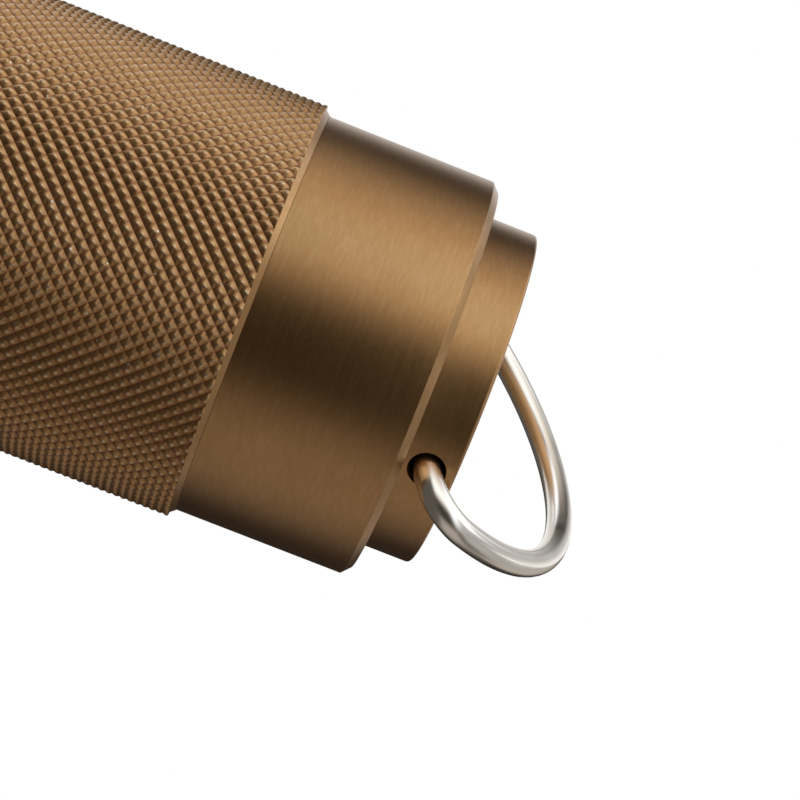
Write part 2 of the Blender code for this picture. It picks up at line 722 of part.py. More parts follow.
def make_emitter():
    board = disc("led_board", LED_BOARD_RADIUS, LED_BOARD_FRONT, LED_BOARD_REAR)
    drill_lead_holes(board, LED_BOARD_FRONT, LED_BOARD_REAR)
    add_part(board, BOARD_WHITE, HEAD_AXIS)
    size = (LED_SIDE, LED_SIDE, LED_REAR - LED_FRONT)
    package = block("led_package", size, (0.0, 0.0, (LED_REAR + LED_FRONT) / 2), LED_BEVEL)
    add_part(package, CERAMIC, HEAD_AXIS)
    dome = [(0.0, LED_DOME_BASE)]
    dome += arc((0.0, LED_DOME_BASE), LED_DOME_RADIUS, 0.0, -math.pi / 2, LED_DOME_STEPS)[:-1]
    dome.append((0.0, LED_DOME_BASE - LED_DOME_RADIUS))
    add_part(turned("led_dome", dome), PHOSPHOR, HEAD_AXIS)
    spacer = ring(
        "led_spacer", LED_SPACER_INNER_RADIUS, LED_SPACER_RADIUS, LED_SPACER_FRONT, LED_SPACER_REAR
    )
    add_part(spacer, NYLON, HEAD_AXIS)


def drill_lead_holes(piece, bottom, top):
    for side in (-1, 1):
        cutter = rod_cutter(
            f"{piece.name}_lead_hole_{side:+d}",
            LEAD_HOLE_RADIUS,
            bottom - CUTTER_OVERRUN,
            top + CUTTER_OVERRUN,
            x=side * LEAD_OFFSET,
        )
        boolean(piece, cutter, "DIFFERENCE")


def make_pill():
    profile = [
        (0.0, PILL_FLOOR),
        (PILL_BORE_RADIUS, PILL_FLOOR),
        (PILL_BORE_RADIUS, PILL_RIM),
        (PILL_RADIUS, PILL_RIM),
        (PILL_RADIUS, PILL_FRONT),
        (0.0, PILL_FRONT),
    ]
    pill = turned("pill", profile)
    drill_lead_holes(pill, PILL_FRONT, PILL_FLOOR)
    add_part(pill, BRASS, HEAD_AXIS)


def make_leads():
    bend_radius = LEAD_BEND - LEAD_PAD_Z
    for name, side, look in (("lead_positive", 1, RED_SILICONE), ("lead_negative", -1, BLACK_SILICONE)):
        bend = arc(
            (LEAD_OFFSET + bend_radius, LEAD_BEND), bend_radius, math.pi, 1.5 * math.pi, LEAD_BEND_POINTS
        )
        route = [(LEAD_OFFSET, LEAD_REAR), *bend, (LEAD_PAD_END, LEAD_PAD_Z)]
        points = [(side * across, 0.0, height) for across, height in route]
        add_part(wire(name, points, LEAD_RADIUS, LEAD_BEVEL_RESOLUTION), look, HEAD_AXIS)


def make_driver():
    add_part(disc("driver_board", DRIVER_RADIUS, DRIVER_FRONT, DRIVER_REAR), BOARD_GREEN, HEAD_AXIS)
    components = (
        ("driver_inductor", INDUCTOR_SIZE, INDUCTOR_Y, FERRITE),
        ("driver_chip", CHIP_SIZE, CHIP_Y, EPOXY),
        ("driver_capacitor", CAPACITOR_SIZE, CAPACITOR_Y, TAN_CERAMIC),
    )
    for name, size, y, look in components:
        centre = (0.0, y, COMPONENT_TOP - size[2] / 2)
        add_part(block(name, size, centre, COMPONENT_BEVEL), look, HEAD_AXIS)
    retainer = ring(
        "driver_retaining_ring", RETAINER_INNER_RADIUS, RETAINER_RADIUS, RETAINER_FRONT, RETAINER_REAR
    )
    notch_size = (2 * RETAINER_RADIUS + CUTTER_OVERRUN, RETAINER_NOTCH, RETAINER_REAR - RETAINER_FRONT)
    notch = block("retainer_notch", notch_size, (0.0, 0.0, RETAINER_REAR), 0.0)
    boolean(retainer, as_cutter(notch), "DIFFERENCE")
    add_part(retainer, BRASS, HEAD_AXIS)
    spring = coil(
        "contact_spring",
        CONTACT_SPRING_BOTTOM,
        CONTACT_SPRING_TOP,
        CONTACT_SPRING_BOTTOM_RADIUS,
        CONTACT_SPRING_TOP_RADIUS,
        CONTACT_SPRING_WIRE_RADIUS,
        CONTACT_SPRING_TURNS,
    )
    add_part(spring, SPRING_STEEL, HEAD_AXIS)
    foam = ring("foam_ring", FOAM_INNER_RADIUS, FOAM_RADIUS, FOAM_FRONT, FOAM_REAR)
    add_part(foam, FOAM, HEAD_AXIS)


make_body_tube()
make_o_rings()
make_cell()
make_tail_cap()
make_key_ring()
make_tail_contact()
make_head_shell()
make_bezel()
make_reflector()
make_emitter()
make_pill()
make_leads()
make_driver()
bpy.context.view_layer.update()
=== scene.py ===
"""Looks of the keychain flashlight: fine meshes, finishes, studio and camera."""

import math

import bmesh
import bpy
from mathutils import Matrix, Vector


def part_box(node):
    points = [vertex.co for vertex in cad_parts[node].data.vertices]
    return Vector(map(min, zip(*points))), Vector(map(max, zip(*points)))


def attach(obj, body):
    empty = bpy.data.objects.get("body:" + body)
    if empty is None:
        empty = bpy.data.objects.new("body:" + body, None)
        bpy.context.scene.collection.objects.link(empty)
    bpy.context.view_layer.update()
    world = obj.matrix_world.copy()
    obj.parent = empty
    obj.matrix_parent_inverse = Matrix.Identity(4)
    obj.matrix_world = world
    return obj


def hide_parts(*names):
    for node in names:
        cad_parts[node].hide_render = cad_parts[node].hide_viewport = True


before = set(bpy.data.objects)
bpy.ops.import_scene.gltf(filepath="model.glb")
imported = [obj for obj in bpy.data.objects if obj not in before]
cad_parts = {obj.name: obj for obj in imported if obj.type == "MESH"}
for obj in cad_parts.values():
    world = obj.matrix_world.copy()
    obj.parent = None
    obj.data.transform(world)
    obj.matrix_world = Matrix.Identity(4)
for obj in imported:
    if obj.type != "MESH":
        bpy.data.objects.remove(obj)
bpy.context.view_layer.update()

MM = 0.001

# Camera, from the photograph: a pinhole camera in pixels of the square picture
PHOTO_SIDE = 800
PHOTO_FOCAL = 2229.24
AXIS_ROLL = math.radians(21.386)
AXIS_TILT = math.radians(3.110)
HOLE_TURN = math.radians(26.2)
REFERENCE_PIXEL = (169.43, 280.58)
REFERENCE_DEPTH = 102.736 * MM
REFERENCE_HEIGHT = 47.0 * MM
SENSOR_WIDTH = 36.0
CAMERA_CLIP = (0.001, 10.0)

# Roundness of the fine meshes
SIDES = 240
THREAD_SIDES = 120
SMOOTH_ANGLE = math.radians(32)

# Knurl of the tube: blunt teeth between crossing grooves at 45 degrees. A tooth's rings are given
# by their width against its foot and their height against its tip
KNURL_TEETH = 90
KNURL_DEPTH = 0.17 * MM
KNURL_RINGS = ((0.38, 0.76), (0.08, 1.0))
KNURL_SHARP_ANGLE = math.radians(66)
KNURL_OVERRUN = 0.20 * MM
TURNED_TOLERANCE = 0.03

# Tube, in the heights of the frame
TUBE_FRONT = 24.30 * MM
TUBE_REAR = 51.15 * MM
KNURL_STRIP = 0.27 * MM
TUBE_CHAMFER_RADIUS = 9.72 * MM
TUBE_BORE_RADIUS = 8.00 * MM
SPIGOT_LENGTH = 4.30 * MM
COLLAR_RADIUS = 8.95 * MM
GROOVE_RADIUS = 8.45 * MM
GROOVE_START = 0.55 * MM
GROOVE_END = 1.45 * MM
LAND_END = 1.65 * MM
BREAK = 0.06 * MM
CORE_GAP = 0.01 * MM

# Threads
THREAD_PITCH = 1.00 * MM
THREAD_START = 1.85 * MM
THREAD_TURNS = 2.0
MALE_ROOT_RADIUS = 8.55 * MM
MALE_CREST_RADIUS = 8.95 * MM
MALE_ROOT_WIDTH = 0.56 * MM
MALE_CREST_WIDTH = 0.22 * MM
NUT_MINOR_RADIUS = 8.65 * MM
NUT_MAJOR_RADIUS = 9.05 * MM
NUT_CLEARANCE = 0.11 * MM
NUT_EXTRA_TURNS = 0.5
NUT_COUNTERBORE_RADIUS = 9.10 * MM
NUT_COUNTERBORE_DEPTH = 1.70 * MM
THREAD_ROWS = 36

# Tail cap
BAND_RADIUS = 9.70 * MM
STEP_RADIUS = 8.12 * MM
CAP_MOUTH = 51.16 * MM
CAP_MOUTH_ROUND = 0.01 * MM
CAP_SHOULDER = 59.56 * MM
CAP_SHOULDER_CHAMFER = 0.39 * MM
CAP_EDGE_ROUND = 0.05 * MM
CAP_END_ROUND = 0.16 * MM
CAP_FILLET = 0.06 * MM
EDGE_STEPS = 4
MOUTH_STEPS = 5
END_STEPS = 8
TAIL_END = 62.00 * MM
CAP_RELIEF_START = 55.40 * MM
CAP_RELIEF_RADIUS = 9.05 * MM
CAP_CEILING = 56.75 * MM
HOLE_HEIGHT = 60.71 * MM
HOLE_RADIUS = 0.80 * MM
HOLE_FLARE = 0.07 * MM
HOLE_FLARE_DEPTH = 2 * HOLE_FLARE
HOLE_FLARE_REACH = 4 * HOLE_FLARE
HOLE_FLARE_SLOPE = 0.5
HOLE_SIDES = 64

# Key ring
RING_WIRE_RADIUS = 0.63 * MM
RING_ARC_RADIUS = 10.30 * MM
RING_ARC_CENTRE = -1.35 * MM
RING_BEND_RADIUS = 2.00 * MM
RING_END_GAP = 0.60 * MM
RING_SWING = math.radians(32)
RING_WIRE_SIDES = 28
RING_BEND_STEPS = 24
RING_CROWN_STEPS = 40

# Springs
TAIL_SPRING_BOTTOM = 49.45 * MM
TAIL_SPRING_TOP = 55.60 * MM
TAIL_SPRING_BOTTOM_RADIUS = 3.20 * MM
TAIL_SPRING_TOP_RADIUS = 5.20 * MM
TAIL_SPRING_WIRE_RADIUS = 0.30 * MM
TAIL_SPRING_TURNS = 5.0
CONTACT_SPRING_BOTTOM = 18.60 * MM
CONTACT_SPRING_TOP = 21.50 * MM
CONTACT_SPRING_BOTTOM_RADIUS = 2.40 * MM
CONTACT_SPRING_TOP_RADIUS = 1.40 * MM
CONTACT_SPRING_WIRE_RADIUS = 0.25 * MM
CONTACT_SPRING_TURNS = 3.0
SPRING_STEPS_PER_TURN = 48
SPRING_WIRE_SIDES = 14

# Foam ring, with its edges rounded over, and rubber rings
FOAM_INNER_RADIUS = 3.40 * MM
FOAM_EDGE_ROUND = 0.45 * MM
FOAM_EDGE_STEPS = 5
RUBBER_RING_STEPS = 20

# Head, out of the photograph
HEAD_RADIUS = 10.50 * MM
HEAD_FRONT = 1.70 * MM
HEAD_REAR = 23.75 * MM
HEAD_CHAMFER = 0.50 * MM
HEAD_GROOVES = 3
HEAD_GROOVE_FIRST = 9.00 * MM
HEAD_GROOVE_WIDTH = 1.20 * MM
HEAD_GROOVE_PITCH = 2.40 * MM
HEAD_GROOVE_DEPTH = 0.70 * MM
BEZEL_BORE_RADIUS = 9.50 * MM
BEZEL_BORE_END = 5.40 * MM
HEAD_BORE_RADIUS = 8.85 * MM
LEDGE_RADIUS = 8.00 * MM
LEDGE_FRONT = 10.90 * MM
LEDGE_REAR = 12.20 * MM
HEAD_RELIEF_START = 19.00 * MM
HEAD_RELIEF_END = 20.20 * MM
BEZEL_RADIUS = 10.10 * MM
BEZEL_APERTURE_RADIUS = 7.40 * MM
BEZEL_LIP = 1.40 * MM
BEZEL_CHAMFER = 0.50 * MM
BEZEL_SKIRT_INNER_RADIUS = 8.75 * MM
BEZEL_SKIRT_RADIUS = 9.35 * MM
BEZEL_SKIRT_END = 5.00 * MM
REFLECTOR_FRONT = 3.65 * MM
REFLECTOR_REAR = 9.90 * MM
REFLECTOR_FLANGE_END = 4.50 * MM
REFLECTOR_FLANGE_RADIUS = 8.50 * MM
REFLECTOR_MOUTH_RADIUS = 7.70 * MM
REFLECTOR_NECK_RADIUS = 2.50 * MM
REFLECTOR_WALL = 0.90 * MM
REFLECTOR_STEPS = 28
LENS_BEVEL = 0.15 * MM
DOME_STEPS = 16


# Meshes


def arc(centre, radius, start, end, steps):
    """Points on a circle arc, both ends included, as (radius, height) pairs."""
    made = []
    for step in range(steps + 1):
        angle = start + (end - start) * step / steps
        made.append((centre[0] + radius * math.cos(angle), centre[1] + radius * math.sin(angle)))
    return made


def smooth(mesh, sharp_angle=SMOOTH_ANGLE):
    mesh.shade_smooth()
    mesh.set_sharp_from_angle(angle=sharp_angle)


def piece_from(name, bm, sharp_angle=SMOOTH_ANGLE):
    bmesh.ops.recalc_face_normals(bm, faces=bm.faces)
    mesh = bpy.data.meshes.new(name)
    bm.to_mesh(mesh)
    bm.free()
    smooth(mesh, sharp_angle)
    piece = bpy.data.objects.new(name, mesh)
    bpy.context.scene.collection.objects.link(piece)
    return piece


def skin(name, rings, sides):
    """A closed surface round the Z axis through rings of (radius, height) pairs.

    A ring is one pair, or a function of the angle that gives a pair. The last ring joins
    the first, unless both lie on the axis.
    """
    bm = bmesh.new()
    angles = [2 * math.pi * i / sides for i in range(sides)]
    rows = []
    for ring in rings:
        if not callable(ring) and ring[0] == 0.0:
            rows.append([bm.verts.new((0.0, 0.0, ring[1]))])
            continue
        row = []
        for angle in angles:
            radius, height = ring(angle) if callable(ring) else ring
            row.append(bm.verts.new((radius * math.cos(angle), radius * math.sin(angle), height)))
        rows.append(row)
    pairs = list(zip(rows, rows[1:]))
    if len(rows[0]) > 1:
        pairs.append((rows[-1], rows[0]))
    for upper, lower in pairs:
        for i in range(sides):
            j = (i + 1) % sides
            top = [upper[i % len(upper)], upper[j % len(upper)]]
            base = [lower[j % len(lower)], lower[i % len(lower)]]
            distinct = list(dict.fromkeys(top + base))
            if len(distinct) > 2:
                bm.faces.new(distinct)
    return piece_from(name, bm)


def thread_rings(bottom, plain_radius, thread_radius, plain_width, thread_width, turns, low, high):
    """Rings from height low to high with a right-hand helical ridge or groove between them."""
    top = bottom + turns * THREAD_PITCH

    def ring_at(height):
        def point_at(angle):
            phase = height / THREAD_PITCH - angle / (2 * math.pi)
            turn = round(phase)
            centre = (turn + angle / (2 * math.pi)) * THREAD_PITCH
            off = abs(height - centre)
            share = (plain_width / 2 - off) / (plain_width / 2 - thread_width / 2)
            share = min(max(share, 0.0), 1.0)
            if not bottom - BREAK < centre < top + BREAK:
                share = 0.0
            return plain_radius + (thread_radius - plain_radius) * share, height

        return point_at

    return [ring_at(low + (high - low) * step / THREAD_ROWS) for step in range(THREAD_ROWS + 1)]


REAR_THREAD_BOTTOM = TUBE_REAR + THREAD_START
FRONT_THREAD_BOTTOM = TUBE_FRONT - THREAD_START - THREAD_TURNS * THREAD_PITCH


def male_thread_rings(bottom, low, high):
    return thread_rings(
        bottom,
        MALE_ROOT_RADIUS,
        MALE_CREST_RADIUS,
        MALE_ROOT_WIDTH,
        MALE_CREST_WIDTH,
        THREAD_TURNS,
        low,
        high,
    )


def nut_thread_rings(bottom, low, high):
    return thread_rings(
        bottom - NUT_EXTRA_TURNS * THREAD_PITCH,
        NUT_MINOR_RADIUS,
        NUT_MAJOR_RADIUS,
        MALE_ROOT_WIDTH + 2 * NUT_CLEARANCE,
        MALE_CREST_WIDTH + 2 * NUT_CLEARANCE,
        THREAD_TURNS + 2 * NUT_EXTRA_TURNS,
        low,
        high,
    )


def spigot_rings(shoulder, outward, thread_bottom):
    """Outer rings of a spigot from its shoulder to its end, with broken edges."""
    start = shoulder + outward * (LAND_END + BREAK)
    end = shoulder + outward * (SPIGOT_LENGTH - 2 * BREAK)
    thread = male_thread_rings(thread_bottom, min(start, end), max(start, end))
    if outward < 0:
        thread = thread[::-1]
    return [
        (COLLAR_RADIUS, shoulder - outward * BREAK),
        (COLLAR_RADIUS, shoulder + outward * (GROOVE_START - BREAK)),
        (COLLAR_RADIUS - BREAK, shoulder + outward * GROOVE_START),
        (GROOVE_RADIUS, shoulder + outward * GROOVE_START),
        (GROOVE_RADIUS, shoulder + outward * GROOVE_END),
        (COLLAR_RADIUS - BREAK, shoulder + outward * GROOVE_END),
        (COLLAR_RADIUS, shoulder + outward * (GROOVE_END + BREAK)),
        (COLLAR_RADIUS, shoulder + outward * (LAND_END - BREAK)),
        (COLLAR_RADIUS - BREAK, shoulder + outward * LAND_END),
        (MALE_ROOT_RADIUS, shoulder + outward * LAND_END),
        *thread,
        (MALE_ROOT_RADIUS - 2 * BREAK, shoulder + outward * SPIGOT_LENGTH),
        (TUBE_BORE_RADIUS + BREAK, shoulder + outward * SPIGOT_LENGTH),
        (TUBE_BORE_RADIUS, shoulder + outward * (SPIGOT_LENGTH - BREAK)),
    ]


def make_tube_core():
    """The bored and screwed tube inside the knurled sleeve surface."""
    rear = spigot_rings(TUBE_REAR, 1, REAR_THREAD_BOTTOM)
    front = spigot_rings(TUBE_FRONT, -1, FRONT_THREAD_BOTTOM)
    return skin("tube_core", rear[::-1] + front, THREAD_SIDES)


def make_knurl():
    """The knurled outside of the tube: rows of teeth, cut over length and then turned to size.

    Lattice steps are half a tooth's diagonal. Grooves cross where row and column add up to an odd
    number, and a tooth stands on each of the other points.
    """
    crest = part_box("body_tube")[1].x
    columns = 2 * KNURL_TEETH
    step = math.pi * crest / KNURL_TEETH
    rows = math.ceil((TUBE_REAR - TUBE_FRONT) / step) + 2
    bottom = (TUBE_FRONT + TUBE_REAR - rows * step) / 2
    bm = bmesh.new()

    def corner(radius, row, column):
        angle = 2 * math.pi * column / columns
        height = bottom + row * step
        return bm.verts.new((radius * math.cos(angle), radius * math.sin(angle), height))

    crossings = {}
    for row in range(-1, rows + 2):
        for column in range((row + 1) % 2, columns, 2):
            crossings[row, column] = corner(crest - KNURL_DEPTH, row, column)
    for row in range(rows + 1):
        for column in range(row % 2, columns, 2):
            sides = ((1, 0), (0, 1), (-1, 0), (0, -1))
            below = [crossings[row + up, (column + along) % columns] for up, along in sides]
            for width, rise in KNURL_RINGS:
                radius = crest - KNURL_DEPTH * (1 - rise)
                ring = [
                    corner(radius, row + width * up, column + width * along) for up, along in sides
                ]
                for i in range(len(sides)):
                    j = (i + 1) % len(sides)
                    bm.faces.new((below[i], below[j], ring[j], ring[i]))
                below = ring
            bm.faces.new(below)
    close_knurl(bm, corner, crossings, rows, columns)
    knurl = piece_from("tube_knurl", bm)
    turn_knurl_ends(knurl, crest)
    return knurl


def close_knurl(bm, corner, crossings, rows, columns):
    """Close the zigzag ends of the teeth with a bore."""
    bore = COLLAR_RADIUS - KNURL_OVERRUN
    loops = []
    for last, inward in ((-1, 1), (rows + 1, -1)):
        rim = [last if (last, column) in crossings else last + inward for column in range(columns)]
        outer = [crossings[row, column] for column, row in enumerate(rim)]
        inner = [corner(bore, row, column) for column, row in enumerate(rim)]
        loops.append((outer, inner))
    (front, front_bore), (rear, rear_bore) = loops
    for i in range(columns):
        j = (i + 1) % columns
        bm.faces.new((front[i], front[j], front_bore[j], front_bore[i]))
        bm.faces.new((rear[i], rear[j], rear_bore[j], rear_bore[i]))
        bm.faces.new((front_bore[i], front_bore[j], rear_bore[j], rear_bore[i]))


def turn_knurl_ends(knurl, crest):
    """Cut the teeth to the tube's length, bore and chamfers."""
    over = crest + KNURL_OVERRUN
    root = crest - KNURL_DEPTH - CORE_GAP
    bore = COLLAR_RADIUS + CORE_GAP
    rings = [
        (bore, TUBE_REAR),
        (TUBE_CHAMFER_RADIUS, TUBE_REAR),
        (root, TUBE_REAR - KNURL_STRIP),
        (over, TUBE_REAR - KNURL_STRIP - CORE_GAP),
        (over, TUBE_FRONT + KNURL_STRIP + CORE_GAP),
        (root, TUBE_FRONT + KNURL_STRIP),
        (TUBE_CHAMFER_RADIUS, TUBE_FRONT),
        (bore, TUBE_FRONT),
    ]
    carve(knurl, skin("knurl_blank", rings, SIDES), "INTERSECT", "MANIFOLD", KNURL_SHARP_ANGLE)
    sharpen_turned_edges(knurl.data)


def turned_slope(face):
    """Slope of a face that was turned round the axis, or None on the teeth."""
    outward = Vector((*face.calc_center_median().xy, 0.0)).normalized()
    across = abs(outward.cross(face.normal).z)
    if across > TURNED_TOLERANCE or face.normal.dot(outward) > 1 - TURNED_TOLERANCE:
        return None
    return round(face.normal.z, 1)


def sharpen_turned_edges(mesh):
    """Keep edges crisp where the turned faces meet the teeth and each other."""
    bm = bmesh.new()
    bm.from_mesh(mesh)
    for edge in bm.edges:
        if len({turned_slope(face) for face in edge.link_faces}) > 1:
            edge.smooth = False
    bm.to_mesh(mesh)
    bm.free()


def carve(piece, tool, operation, solver, sharp_angle=SMOOTH_ANGLE):
    """Change a piece by a Boolean with a tool, which is used up."""
    cut = piece.modifiers.new("Carve", "BOOLEAN")
    cut.operation = operation
    cut.solver = solver
    cut.object = tool
    evaluated = piece.evaluated_get(bpy.context.evaluated_depsgraph_get())
    carved = bpy.data.meshes.new_from_object(evaluated)
    piece.modifiers.clear()
    piece.data = carved
    smooth(carved, sharp_angle)
    bpy.data.objects.remove(tool, do_unlink=True)


def make_tail_cap():
    """The smooth band and the end step, with the nut thread inside and the cross-hole."""
    edge_centre = (BAND_RADIUS - CAP_EDGE_ROUND, CAP_SHOULDER - CAP_SHOULDER_CHAMFER)
    edge = arc(edge_centre, CAP_EDGE_ROUND, math.pi / 4, 0.0, EDGE_STEPS)
    mouth_centre = (BAND_RADIUS - CAP_MOUTH_ROUND, CAP_MOUTH + CAP_MOUTH_ROUND)
    mouth = arc(mouth_centre, CAP_MOUTH_ROUND, 0.0, -math.pi / 2, MOUTH_STEPS)
    end_centre = (STEP_RADIUS - CAP_END_ROUND, TAIL_END - CAP_END_ROUND)
    end = arc(end_centre, CAP_END_ROUND, math.pi / 2, 0.0, END_STEPS)
    fillet_centre = (STEP_RADIUS + CAP_FILLET, CAP_SHOULDER + CAP_FILLET)
    fillet = arc(fillet_centre, CAP_FILLET, math.pi, 1.5 * math.pi, EDGE_STEPS)
    counterbore_end = CAP_MOUTH + NUT_COUNTERBORE_DEPTH
    rings = [
        (0.0, TAIL_END),
        *end,
        *fillet,
        (BAND_RADIUS - CAP_SHOULDER_CHAMFER, CAP_SHOULDER),
        *edge,
        *mouth,
        (NUT_COUNTERBORE_RADIUS, CAP_MOUTH),
        (NUT_COUNTERBORE_RADIUS, counterbore_end),
        *nut_thread_rings(REAR_THREAD_BOTTOM, counterbore_end, CAP_RELIEF_START),
        (CAP_RELIEF_RADIUS, CAP_RELIEF_START),
        (CAP_RELIEF_RADIUS, CAP_CEILING),
        (0.0, CAP_CEILING),
    ]
    cap = skin("tail_cap_fine", rings, SIDES)
    drill_ring_hole(cap)
    return cap


def drill_ring_hole(cap):
    """Bore the cross-hole along Y, with slightly flared mouths."""
    mouth = STEP_RADIUS - HOLE_FLARE_DEPTH
    reach = STEP_RADIUS + HOLE_FLARE_REACH
    flared = HOLE_RADIUS + (reach - mouth) * HOLE_FLARE_SLOPE
    half = [(0.0, reach), (flared, reach), (HOLE_RADIUS, mouth)]
    rings = half + [(radius, -height) for radius, height in reversed(half)]
    drill = skin("ring_drill", rings, HOLE_SIDES)
    lay_down = Matrix.Rotation(math.pi / 2, 4, "X")
    drill.data.transform(Matrix.Translation((0, 0, HOLE_HEIGHT)) @ lay_down)
    carve(cap, drill, "DIFFERENCE", "EXACT")


def ring_path():
    """Centre line of the bail in its own plane, as (across, reach) pairs from end to end."""
    bend_across = math.sqrt(
        (RING_ARC_RADIUS - RING_BEND_RADIUS) ** 2 - (RING_BEND_RADIUS - RING_ARC_CENTRE) ** 2
    )
    tangent = math.atan2(RING_BEND_RADIUS - RING_ARC_CENTRE, bend_across)
    bend_centre = (bend_across, RING_BEND_RADIUS)
    bend = arc(bend_centre, RING_BEND_RADIUS, -math.pi / 2, tangent, RING_BEND_STEPS)
    crown = arc((0.0, RING_ARC_CENTRE), RING_ARC_RADIUS, tangent, math.pi / 2, RING_CROWN_STEPS)
    half = [(RING_END_GAP / 2, 0.0), *bend, *crown[1:]]
    return half + [(-across, reach) for across, reach in half[-2::-1]]


def sweep(name, path, radius, sides, normal):
    """A closed round wire along a path; normal lies across the path's first stretch."""
    bm = bmesh.new()
    rows = []
    for i, place_on_path in enumerate(path):
        ahead = (path[min(i + 1, len(path) - 1)] - path[max(i - 1, 0)]).normalized()
        normal = (normal - normal.dot(ahead) * ahead).normalized()
        across = ahead.cross(normal)
        row = []
        for step in range(sides):
            angle = 2 * math.pi * step / sides
            offset = normal * math.cos(angle) + across * math.sin(angle)
            row.append(bm.verts.new(place_on_path + offset * radius))
        rows.append(row)
    for first, second in zip(rows, rows[1:]):
        for i in range(sides):
            j = (i + 1) % sides
            bm.faces.new((first[i], first[j], second[j], second[i]))
    bm.faces.new(rows[0])
    bm.faces.new(rows[-1])
    return piece_from(name, bm)


def make_key_ring():
    """The wire bail, swung aside as in the photograph."""
    swing = Matrix.Translation((0, 0, HOLE_HEIGHT)) @ Matrix.Rotation(RING_SWING, 4, "Y")
    path = [swing @ Vector((0.0, across, reach)) for across, reach in ring_path()]
    normal = swing.to_3x3() @ Vector((1.0, 0.0, 0.0))
    return sweep("key_ring_fine", path, RING_WIRE_RADIUS, RING_WIRE_SIDES, normal)


def make_spring(name, bottom, top, bottom_radius, top_radius, wire_radius, turns):
    """A conical coil spring, one unbroken wire."""
    steps = round(turns * SPRING_STEPS_PER_TURN)
    path = []
    for step in range(steps + 1):
        share = step / steps
        angle = 2 * math.pi * turns * share
        radius = bottom_radius + (top_radius - bottom_radius) * share
        height = bottom + (top - bottom) * share
        path.append(Vector((radius * math.cos(angle), radius * math.sin(angle), height)))
    return sweep(name, path, wire_radius, SPRING_WIRE_SIDES, Vector((1.0, 0.0, 0.0)))


def make_foam_ring():
    """The foam ring in the head's rear, rounded at its four edges."""
    low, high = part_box("foam_ring")
    corners = [
        (high.x, high.z, math.pi / 2),
        (high.x, low.z, 0.0),
        (FOAM_INNER_RADIUS, low.z, -math.pi / 2),
        (FOAM_INNER_RADIUS, high.z, -math.pi),
    ]
    rings = []
    for radius, height, start in corners:
        inward = -1 if radius == high.x else 1
        downward = -1 if height == high.z else 1
        centre = (radius + inward * FOAM_EDGE_ROUND, height + downward * FOAM_EDGE_ROUND)
        rings += arc(centre, FOAM_EDGE_ROUND, start, start - math.pi / 2, FOAM_EDGE_STEPS)
    return skin("foam_ring_fine", rings, SIDES // 2)


def head_outside():
    """Outer rings of the head, from its rear down to its front, with broken groove edges."""
    low_radius = HEAD_RADIUS - HEAD_GROOVE_DEPTH
    rings = [(HEAD_RADIUS - HEAD_CHAMFER, HEAD_REAR), (HEAD_RADIUS, HEAD_REAR - HEAD_CHAMFER)]
    for number in reversed(range(HEAD_GROOVES)):
        low = HEAD_GROOVE_FIRST + number * HEAD_GROOVE_PITCH
        high = low + HEAD_GROOVE_WIDTH
        rings += [
            (HEAD_RADIUS, high + BREAK),
            (HEAD_RADIUS - BREAK, high),
            (low_radius, high),
            (low_radius, low),
            (HEAD_RADIUS - BREAK, low),
            (HEAD_RADIUS, low - BREAK),
        ]
    rings += [(HEAD_RADIUS, HEAD_FRONT + HEAD_CHAMFER), (HEAD_RADIUS - HEAD_CHAMFER, HEAD_FRONT)]
    return rings


def make_head_shell():
    counterbore_end = HEAD_REAR - NUT_COUNTERBORE_DEPTH
    inside = [
        (BEZEL_BORE_RADIUS, HEAD_FRONT),
        (BEZEL_BORE_RADIUS, BEZEL_BORE_END),
        (HEAD_BORE_RADIUS, BEZEL_BORE_END),
        (HEAD_BORE_RADIUS, LEDGE_FRONT),
        (LEDGE_RADIUS, LEDGE_FRONT),
        (LEDGE_RADIUS, LEDGE_REAR),
        (HEAD_BORE_RADIUS, LEDGE_REAR),
        (HEAD_BORE_RADIUS, HEAD_RELIEF_START),
        (NUT_COUNTERBORE_RADIUS, HEAD_RELIEF_START),
        (NUT_COUNTERBORE_RADIUS, HEAD_RELIEF_END),
        *nut_thread_rings(FRONT_THREAD_BOTTOM, HEAD_RELIEF_END, counterbore_end),
        (NUT_COUNTERBORE_RADIUS, counterbore_end),
        (NUT_COUNTERBORE_RADIUS, HEAD_REAR),
    ]
    return skin("head_shell_fine", head_outside() + inside, SIDES)


def make_bezel():
    rings = [
        (BEZEL_SKIRT_INNER_RADIUS, BEZEL_SKIRT_END),
        (BEZEL_SKIRT_RADIUS, BEZEL_SKIRT_END),
        (BEZEL_SKIRT_RADIUS, BEZEL_LIP),
        (BEZEL_RADIUS, BEZEL_LIP),
        (BEZEL_RADIUS, BEZEL_CHAMFER),
        (BEZEL_RADIUS - BEZEL_CHAMFER, 0.0),
        (BEZEL_APERTURE_RADIUS + BEZEL_CHAMFER, 0.0),
        (BEZEL_APERTURE_RADIUS, BEZEL_CHAMFER),
        (BEZEL_APERTURE_RADIUS, BEZEL_LIP),
        (BEZEL_SKIRT_INNER_RADIUS, BEZEL_LIP),
    ]
    return skin("bezel_fine", rings, SIDES)


